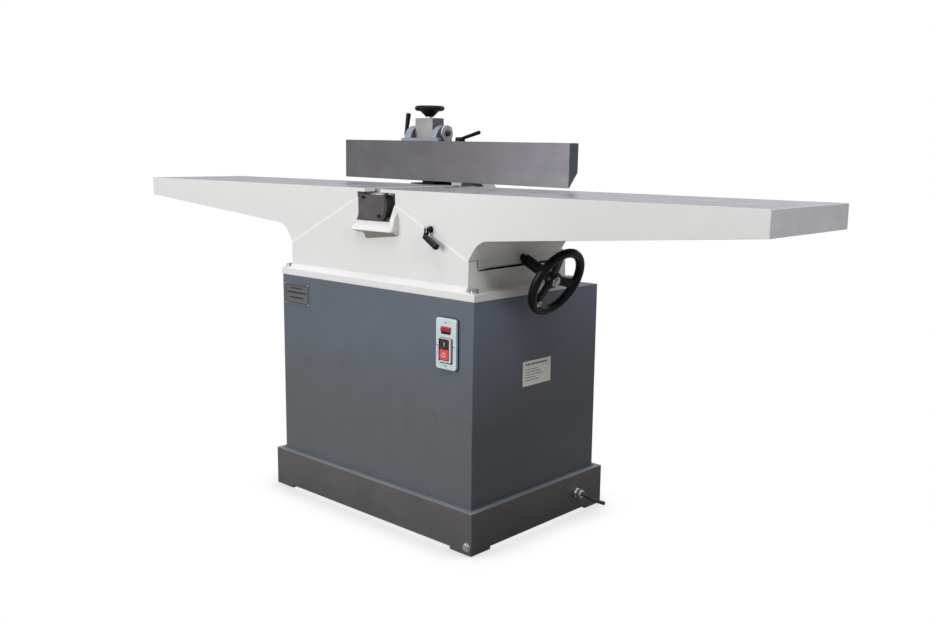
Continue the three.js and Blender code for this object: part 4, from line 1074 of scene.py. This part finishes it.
# pale pad on the front of the lock arm, level with the slot under the fence; it glows a little as painted light
make("support_pad", cube(-81, -49.5, 138.5, 147.2, 816, 827, 0.8, 2), PALE_PAD_GLOW, "stand")
for i, x in enumerate((-215, -165)):
    bm = hex_head(basis((x, 146.3, 660), AX_Y), 9, 0, 6.7, turn=13 * i)
    append(bm, lathe([(0, -25), (5, -25), (5, 0.2), (0, 0.2)], basis((x, 146.3, 660), AX_Y), 24, 0.3))
    make(f"fence_support_bolt_{i + 1}_fine", bm, STEEL, "stand", [f"fence_support_bolt_{i + 1}"])
# four cap screws that hold the bracket to the fence, seen from behind
for i, (x, z) in enumerate(((-258, 880), (-127, 880), (-258, 925), (-127, 925))):
    m = basis((x, 129.1, z), AX_Y)
    bm = lathe([(0, 1.6), (2, 1.6), (2, 4.4), (4.2, 4.4), (4.2, 0), (0, 0)], m, 32, 0.3)
    make(f"bracket_screw_{i + 1}", bm, DARK_STEEL, "fence")

bm = bmesh.new()
mp = basis((0, PIN_Y, PIN_Z), AX_X)
append(bm, lathe([(0, -251.6), (12, -251.6), (12, -124.2), (21.6, -124), (22.4, -123.2), (22.4, -119), (21.4, -118), (0, -118)], mp, 72, 0.5), 0)
append(bm, lathe([(0, -118.2), (8.6, -118.2), (8.6, -117), (0, -117)], mp, 40, 0.3), 1)
append(bm, hex_head(mp, 7.6, -117.2, -112, turn=20), 1)
make("tilt_pin_fine", bm, [DISC_STEEL, DARK_STEEL], "fence_carriage", ["tilt_pin"])

# knob: dished hand knob with a conical hub, five lobes pressed into the rim, bright stud
mk = basis((-190, 162, 0), AX_Z)


def lobes(a, r, h):
    return 1 - 0.018 * (0.5 - 0.5 * math.cos(10 * a)) if r > 34 and h > 1017 else 1


bm = bmesh.new()
append(bm, lathe([(7.9, 1003.8), (11, 1003.8), (13, 1006.5), (27, 1020), (34, 1019.6), (40, 1022), (42.3, 1027), (40.4, 1032), (36, 1034.2), (30, 1032.6), (24, 1028.5), (14, 1028.5), (12, 1031), (0, 1031)], mk, 160, 1.8, wobble=lobes), 0)
append(bm, lathe([(0, 975), (7.4, 975), (8, 975.8), (8, 1004.2), (0, 1004.2)], mk, 40, 0.3), 1)
make("fence_knob_fine", bm, [BLACK, STEEL], "fence_knob", ["fence_knob"], smooth=40)

# =====================================================================  switch
PX, PZ = 271.7, 479.5
PLATE_FRONT = 241.8
def frame_plate(outer, inner, m, y0, y1):
    """Flat ring between two outlines with the same number of points."""
    bm = bmesh.new()
    rings = [[bm.verts.new(m @ Vector((x, z, y))) for x, z in pts] for pts in (outer, inner) for y in (y0, y1)]
    o0, o1, i0, i1 = rings
    n = len(outer)
    for k in range(n):
        j = (k + 1) % n
        bm.faces.new((o0[k], o0[j], i0[j], i0[k]))
        bm.faces.new((o1[k], i1[k], i1[j], o1[j]))
        bm.faces.new((o0[k], o1[k], o1[j], o0[j]))
        bm.faces.new((i0[k], i0[j], i1[j], i1[k]))
    bmesh.ops.recalc_face_normals(bm, faces=bm.faces[:])
    return bm


bm = frame_plate(rrect(PX - 33.6, PX + 33.6, PZ - 60.6, PZ + 60.6, 8.5), rrect(PX - 17.4, PX + 17.4, PZ - 41, PZ + 12.4, 2.5), MF, 233.6, 236.0)
make("switch_gasket", bm, RUBBER, "stand")
# painted shadow: a black ring round the bezel, wider on its right and bottom
bm = frame_plate(rrect(PX - 19.6, PX + 21.8, PZ - 45, PZ + 14.6, 3.8), rrect(PX - 18.7, PX + 18.7, PZ - 41.8, PZ + 13.3, 3), MF, PLATE_FRONT - 0.3, PLATE_FRONT + 0.6)
make("bezel_shadow_ring", bm, BLACK, "stand")
bm = bmesh.new()
for x0, x1, z0, z1 in ((-17.6, -14.15, -39.4, 12.2), (14.15, 15.1, -37.4, 11), (-14.1, 14.1, -11.85, -10.15), (-14.1, 14.1, 10.15, 12.2), (-14.1, 14.1, -37.6, -36.65)):
    append(bm, cube(PX + x0, PX + x1, -PLATE_FRONT - 5.35, -PLATE_FRONT - 4.7, PZ + z0, PZ + z1, 0.2, 1))
make("button_surround", bm, BLACK, "stand")
refine("switch_plate", PLATE_AL, 1.5, 4)
bm, _ = rounded_copy("switch_bezel", 1.0, 3)
make("switch_bezel_fine", bm, CREAM, "stand", ["switch_bezel"])
bm = cube(PX - 13.5, PX + 13.5, -PLATE_FRONT - 5.5, -235.4, PZ - 9.5, PZ + 9.5, 1.2, 3)
append(bm, cube(PX - 1, PX + 1, -PLATE_FRONT - 5.7, -PLATE_FRONT - 5.2, PZ - 4.6, PZ + 4.6, 0.2, 1), 1)
make("start_button_fine", bm, [START, MARK_WHITE], "start_button", ["start_button"])
bm = cube(PX - 13.5, PX + 13.5, -PLATE_FRONT - 7, -235.4, PZ - 36, PZ - 12.5, 1.6, 4)
append(bm, lathe([(4.1, 0), (5.4, 0), (5.4, 0.35), (4.1, 0.35)], basis((PX, -PLATE_FRONT - 6.9, PZ - 24.3), FRONT), 48, 0.1, True), 1)
make("stop_button_fine", bm, [STOP, MARK_WHITE], "stop_button", ["stop_button"])
bm = prism([(238.3, PZ + 28.2), (PLATE_FRONT + 2, PZ + 28.2), (PLATE_FRONT + 3.6, PZ + 34), (PLATE_FRONT + 2, PZ + 39.4), (238.3, PZ + 39.4)],
           Matrix.Translation(P(0, 0, 0)) @ Matrix(((0, 0, 1, 0), (-1, 0, 0, 0), (0, 1, 0, 0), (0, 0, 0, 1))) @ Matrix.Scale(MM, 4), PX - 14, PX + 14, 0.9, 3)
for i in range(9):  # ribs moulded into the lens
    x = PX - 12.8 + 3.2 * i
    append(bm, cube(x - 0.5, x + 0.5, -PLATE_FRONT - 4.2, -PLATE_FRONT - 2.4, PZ + 29.6, PZ + 38, 0.25, 1))
make("indicator_lamp_fine", bm, LAMP, "stand", ["indicator_lamp"])
bm = cube(PX - 14.3, PX + 14.3, -PLATE_FRONT - 1.6, -PLATE_FRONT + 2, PZ + 22.8, PZ + 28.1, 0.5, 2)
make("indicator_bezel", bm, BLACK, "stand")
for i, (dx, dz) in enumerate(((0, 50), (-25.5, -3.2), (25.5, -2.8), (0, -50))):
    m = basis((PX + dx, -PLATE_FRONT, PZ + dz), FRONT)
    bm = lathe([(0, 1.3), (1.6, 1.2), (2.9, 0.5), (3.1, -0.2), (0, -0.2)], m, 32, 0.2)
    append(bm, prism([(-2.2, -0.35), (2.2, -0.35), (2.2, 0.35), (-2.2, 0.35)], m, 1.05, 1.36), 1)
    append(bm, prism([(-0.35, -2.2), (0.35, -2.2), (0.35, 2.2), (-0.35, 2.2)], m, 1.05, 1.36), 1)
    make(f"switch_screw_{i + 1}", bm, [STEEL, DARK_STEEL], "stand")

# =====================================================================  plates and label (no lettering)
refine("rating_plate", RATING, 0.3, 2)
bm = bmesh.new()
X0, X1, Z0, Z1 = -336, -235, 505, 562
for x0, x1, z0, z1 in (
    (X0 + 4, X1 - 4, Z1 - 6, Z1 - 4.6), (X0 + 4, X1 - 4, Z0 + 4.6, Z0 + 6), (X0 + 4, X0 + 5.2, Z0 + 5, Z1 - 5), (X1 - 5.2, X1 - 4, Z0 + 5, Z1 - 5),
    (X0 + 26, X1 - 26, Z1 - 15, Z1 - 12), (X0 + 10, X1 - 12, Z1 - 27, Z1 - 23), (X0 + 20, X1 - 22, Z1 - 40, Z1 - 36.4),
):
    append(bm, cube(x0, x1, -235.28, -234.9, z0, z1))
make("rating_plate_lines", bm, INK, "stand")
for i, (x, z) in enumerate(((X0 + 3.2, Z0 + 3.2), (X1 - 3.2, Z0 + 3.2), (X0 + 3.2, Z1 - 3.2), (X1 - 3.2, Z1 - 3.2))):
    make(f"rating_plate_rivet_{i + 1}", lathe([(0, 1.0), (0.9, 0.85), (1.7, 0.2), (1.7, -0.1), (0, -0.1)], basis((x, -235, z), FRONT), 24), STEEL, "stand")

bm = cube(348.1, 348.75, -59, 46, 361, 421, 0.12, 1)
make("instruction_label", bm, PAPER, "stand")
bm = bmesh.new()
for y0, y1, z, h in ((-50, 30, 411, 3.6), (-50, -5, 399.5, 1.6), (-50, 8, 393, 1.6), (-50, 18, 386.5, 1.6), (-50, -12, 380, 1.6), (-50, 4, 373.5, 1.6)):
    # broken strokes stand for lines of print
    y, k = y0, 0
    while y < y1:
        w = (5.5, 9.0, 3.8, 7.2)[k % 4]
        append(bm, cube(348.7, 348.86, y, min(y + w, y1), z, z + h))
        y += w + 1.8
        k += 1
make("instruction_label_lines", bm, INK, "stand")

# =====================================================================  supply
GY, GZ = 139, 55
bm = bmesh.new()
mg = basis((0, GY, GZ), AX_X)
append(bm, hex_head(mg, 14, 365.3, 373, turn=10))
append(bm, lathe([(5.6, 372), (11.6, 372), (11.6, 373.2), (10.8, 374.0), (11.6, 374.8), (11.6, 376.5), (5.6, 376.5)], mg, 48, 0.3, True))
append(bm, hex_head(mg, 12.4, 376.2, 384.6, turn=25))
append(bm, lathe([(5.5, 384), (10.2, 384), (9.4, 387.8), (5.5, 388)], mg, 48, 0.8, True))
make("cable_gland_fine", bm, STEEL, "stand", ["cable_gland"])
bm = sweep([(366, GY, GZ), (378, GY, GZ), (389, GY, GZ), (403, GY + 6, 50), (419, GY + 18, 41), (434, GY + 33, 34)], 4.8, 20, 60)
make("power_cable_fine", bm, RUBBER, "stand", ["power_cable"])

# =====================================================================  anything still shown as CAD gets its material too
FALLBACK = {
    "white_enamel": WHITE, "grey_enamel": BLUE_GREY, "plinth_enamel": PLINTH, "cast_grey": CAST_BLUE, "head_grey": HEAD_GREY,
    "fence_iron": FENCE_FACE, "bright_steel": STEEL, "dark_steel": DARK_STEEL, "black_plastic": BLACK, "rubber": RUBBER,
    "motor_paint": MOTOR, "plate_aluminium": PLATE_AL, "cream_plastic": CREAM, "start_plastic": START, "stop_plastic": STOP,
    "lamp_plastic": LAMP, "gunmetal": GUNMETAL,
}
for n, o in nodes.items():
    o.data.materials.clear()
    o.data.materials.append(FALLBACK[node_slot[n]])

# =====================================================================  stage
bm = bmesh.new()
for x, y in ((-30, -30), (30, -30), (30, 30), (-30, 30)):
    bm.verts.new((x, y, 0))
bm.faces.new(bm.verts)
me = bpy.data.meshes.new("floor")
bm.to_mesh(me)
bm.free()
floor = bpy.data.objects.new("floor", me)
bpy.context.scene.collection.objects.link(floor)
fl = Mat("floor_pale", (0.34, 0.32, 0.29, 1), 0.8)
fl.mottle(0.7, 0.3, (0.36, 0.34, 0.31, 1))
fl.roughness(5, 0.05)
fl.done()
# the camera sees the pale sweep itself, as emission with a painted soft contact shadow; the object sees what it sends
# back
near = fl.n("ShaderNodeAmbientOcclusion", samples=8)
near.inputs["Distance"].default_value = 0.10
glow = fl.n("ShaderNodeEmission")
shade = fl.n("ShaderNodeMix", data_type="RGBA")
shade.inputs["A"].default_value = (0.70, 0.69, 0.68, 1)
shade.inputs["B"].default_value = (1, 1, 1, 1)
fl.link(fl.ramp(near.outputs["AO"], 0.45, 0.92, 0, 1), shade.inputs["Factor"])
# painted shade: dark inside the footprint, so no bright floor shows through the vents
at = fl.n("ShaderNodeSeparateXYZ")
fl.link(fl.tc.outputs["Object"], at.inputs[0])
inside = fl.math("MULTIPLY", fl.math("LESS_THAN", fl.math("ABSOLUTE", at.outputs["X"]), 0.352),
                 fl.math("LESS_THAN", fl.math("ABSOLUTE", fl.math("SUBTRACT", at.outputs["Y"], DY)), 0.238))
under = fl.n("ShaderNodeMix", data_type="RGBA")
under.inputs["B"].default_value = (0.012, 0.012, 0.013, 1)
fl.link(inside, under.inputs["Factor"])
fl.link(shade.outputs["Result"], under.inputs["A"])
fl.link(under.outputs["Result"], glow.inputs["Color"])
path = fl.n("ShaderNodeLightPath")
both = fl.n("ShaderNodeMixShader")
fl.link(path.outputs["Is Camera Ray"], both.inputs["Fac"])
fl.link(fl.p.outputs["BSDF"], both.inputs[1])
fl.link(glow.outputs["Emission"], both.inputs[2])
fl.link(both.outputs["Shader"], fl.nt.nodes["Material Output"].inputs["Surface"])
me.materials.append(fl.m)


def area(name, loc, target, size, power, colour=(1, 1, 1)):
    l = bpy.data.lights.new(name, "AREA")
    l.shape = "RECTANGLE"
    l.size, l.size_y = size
    l.energy = power
    l.color = colour
    o = bpy.data.objects.new(name, l)
    bpy.context.scene.collection.objects.link(o)
    o.location = loc
    o.rotation_mode = "QUATERNION"
    o.rotation_quaternion = (Vector(target) - Vector(loc)).to_track_quat("-Z", "Y")
    return o


area("key", (-1.6, -5.4, 2.0), (0, 0, 0.45), (4.5, 3.4), 196)
area("top", (0.6, -0.3, 4.8), (0.1, 0, 0.6), (5.0, 3.6), 190)
area("right_high", (4.2, -1.5, 3.0), (0.6, 0, 0.72), (0.9, 0.9), 44, (0.94, 0.97, 1))
area("rear_rim", (1.2, 4.6, 3.4), (0, 0, 0.9), (4.0, 1.6), 30)

world = bpy.data.worlds.new("studio")
bpy.context.scene.world = world
world.use_nodes = True
wn = world.node_tree
for n in list(wn.nodes):
    wn.nodes.remove(n)
out = wn.nodes.new("ShaderNodeOutputWorld")
bg = wn.nodes.new("ShaderNodeBackground")
bg.inputs["Color"].default_value = (0.97, 0.98, 1.0, 1)
bg.inputs["Strength"].default_value = 0.20
see = wn.nodes.new("ShaderNodeBackground")
see.inputs["Color"].default_value = (1, 1, 1, 1)
see.inputs["Strength"].default_value = 1.0
lp = wn.nodes.new("ShaderNodeLightPath")
mx = wn.nodes.new("ShaderNodeMixShader")
wn.links.new(lp.outputs["Is Camera Ray"], mx.inputs["Fac"])
shine = wn.nodes.new("ShaderNodeBackground")  # what polished faces mirror
shine.inputs["Color"].default_value = (0.97, 0.98, 1.0, 1)
shine.inputs["Strength"].default_value = 0.55
pick = wn.nodes.new("ShaderNodeMixShader")
wn.links.new(lp.outputs["Is Glossy Ray"], pick.inputs["Fac"])
wn.links.new(bg.outputs["Background"], pick.inputs[1])
wn.links.new(shine.outputs["Background"], pick.inputs[2])
wn.links.new(pick.outputs["Shader"], mx.inputs[1])
wn.links.new(see.outputs["Background"], mx.inputs[2])
wn.links.new(mx.outputs["Shader"], out.inputs["Surface"])
bpy.context.scene.view_settings.view_transform = "Standard"
bpy.context.scene.view_settings.look = "None"

# =====================================================================  camera
CX, CY, CZ, YAW, PITCH, ROLL, F = 1788.76, -1799.66, 913.63, 0.749259, 0.164061, 0.010356, 978.403
fw = Vector((-math.sin(YAW) * math.cos(PITCH), math.cos(YAW) * math.cos(PITCH), -math.sin(PITCH)))
right = Vector((math.cos(YAW), math.sin(YAW), 0))
up = right.cross(fw)
r2 = right * math.cos(ROLL) + up * math.sin(ROLL)
u2 = -right * math.sin(ROLL) + up * math.cos(ROLL)
cd = bpy.data.cameras.new("camera")
cd.sensor_fit = "HORIZONTAL"
cd.sensor_width = 36
cd.lens = F / 936 * 36
cd.clip_start, cd.clip_end = 0.05, 100
camera = bpy.data.objects.new("camera", cd)
bpy.context.scene.collection.objects.link(camera)
rot = Matrix((r2, u2, -fw)).transposed().to_4x4()
camera.matrix_world = Matrix.Translation(P(CX, CY, CZ)) @ rot
bpy.context.scene.camera = camera
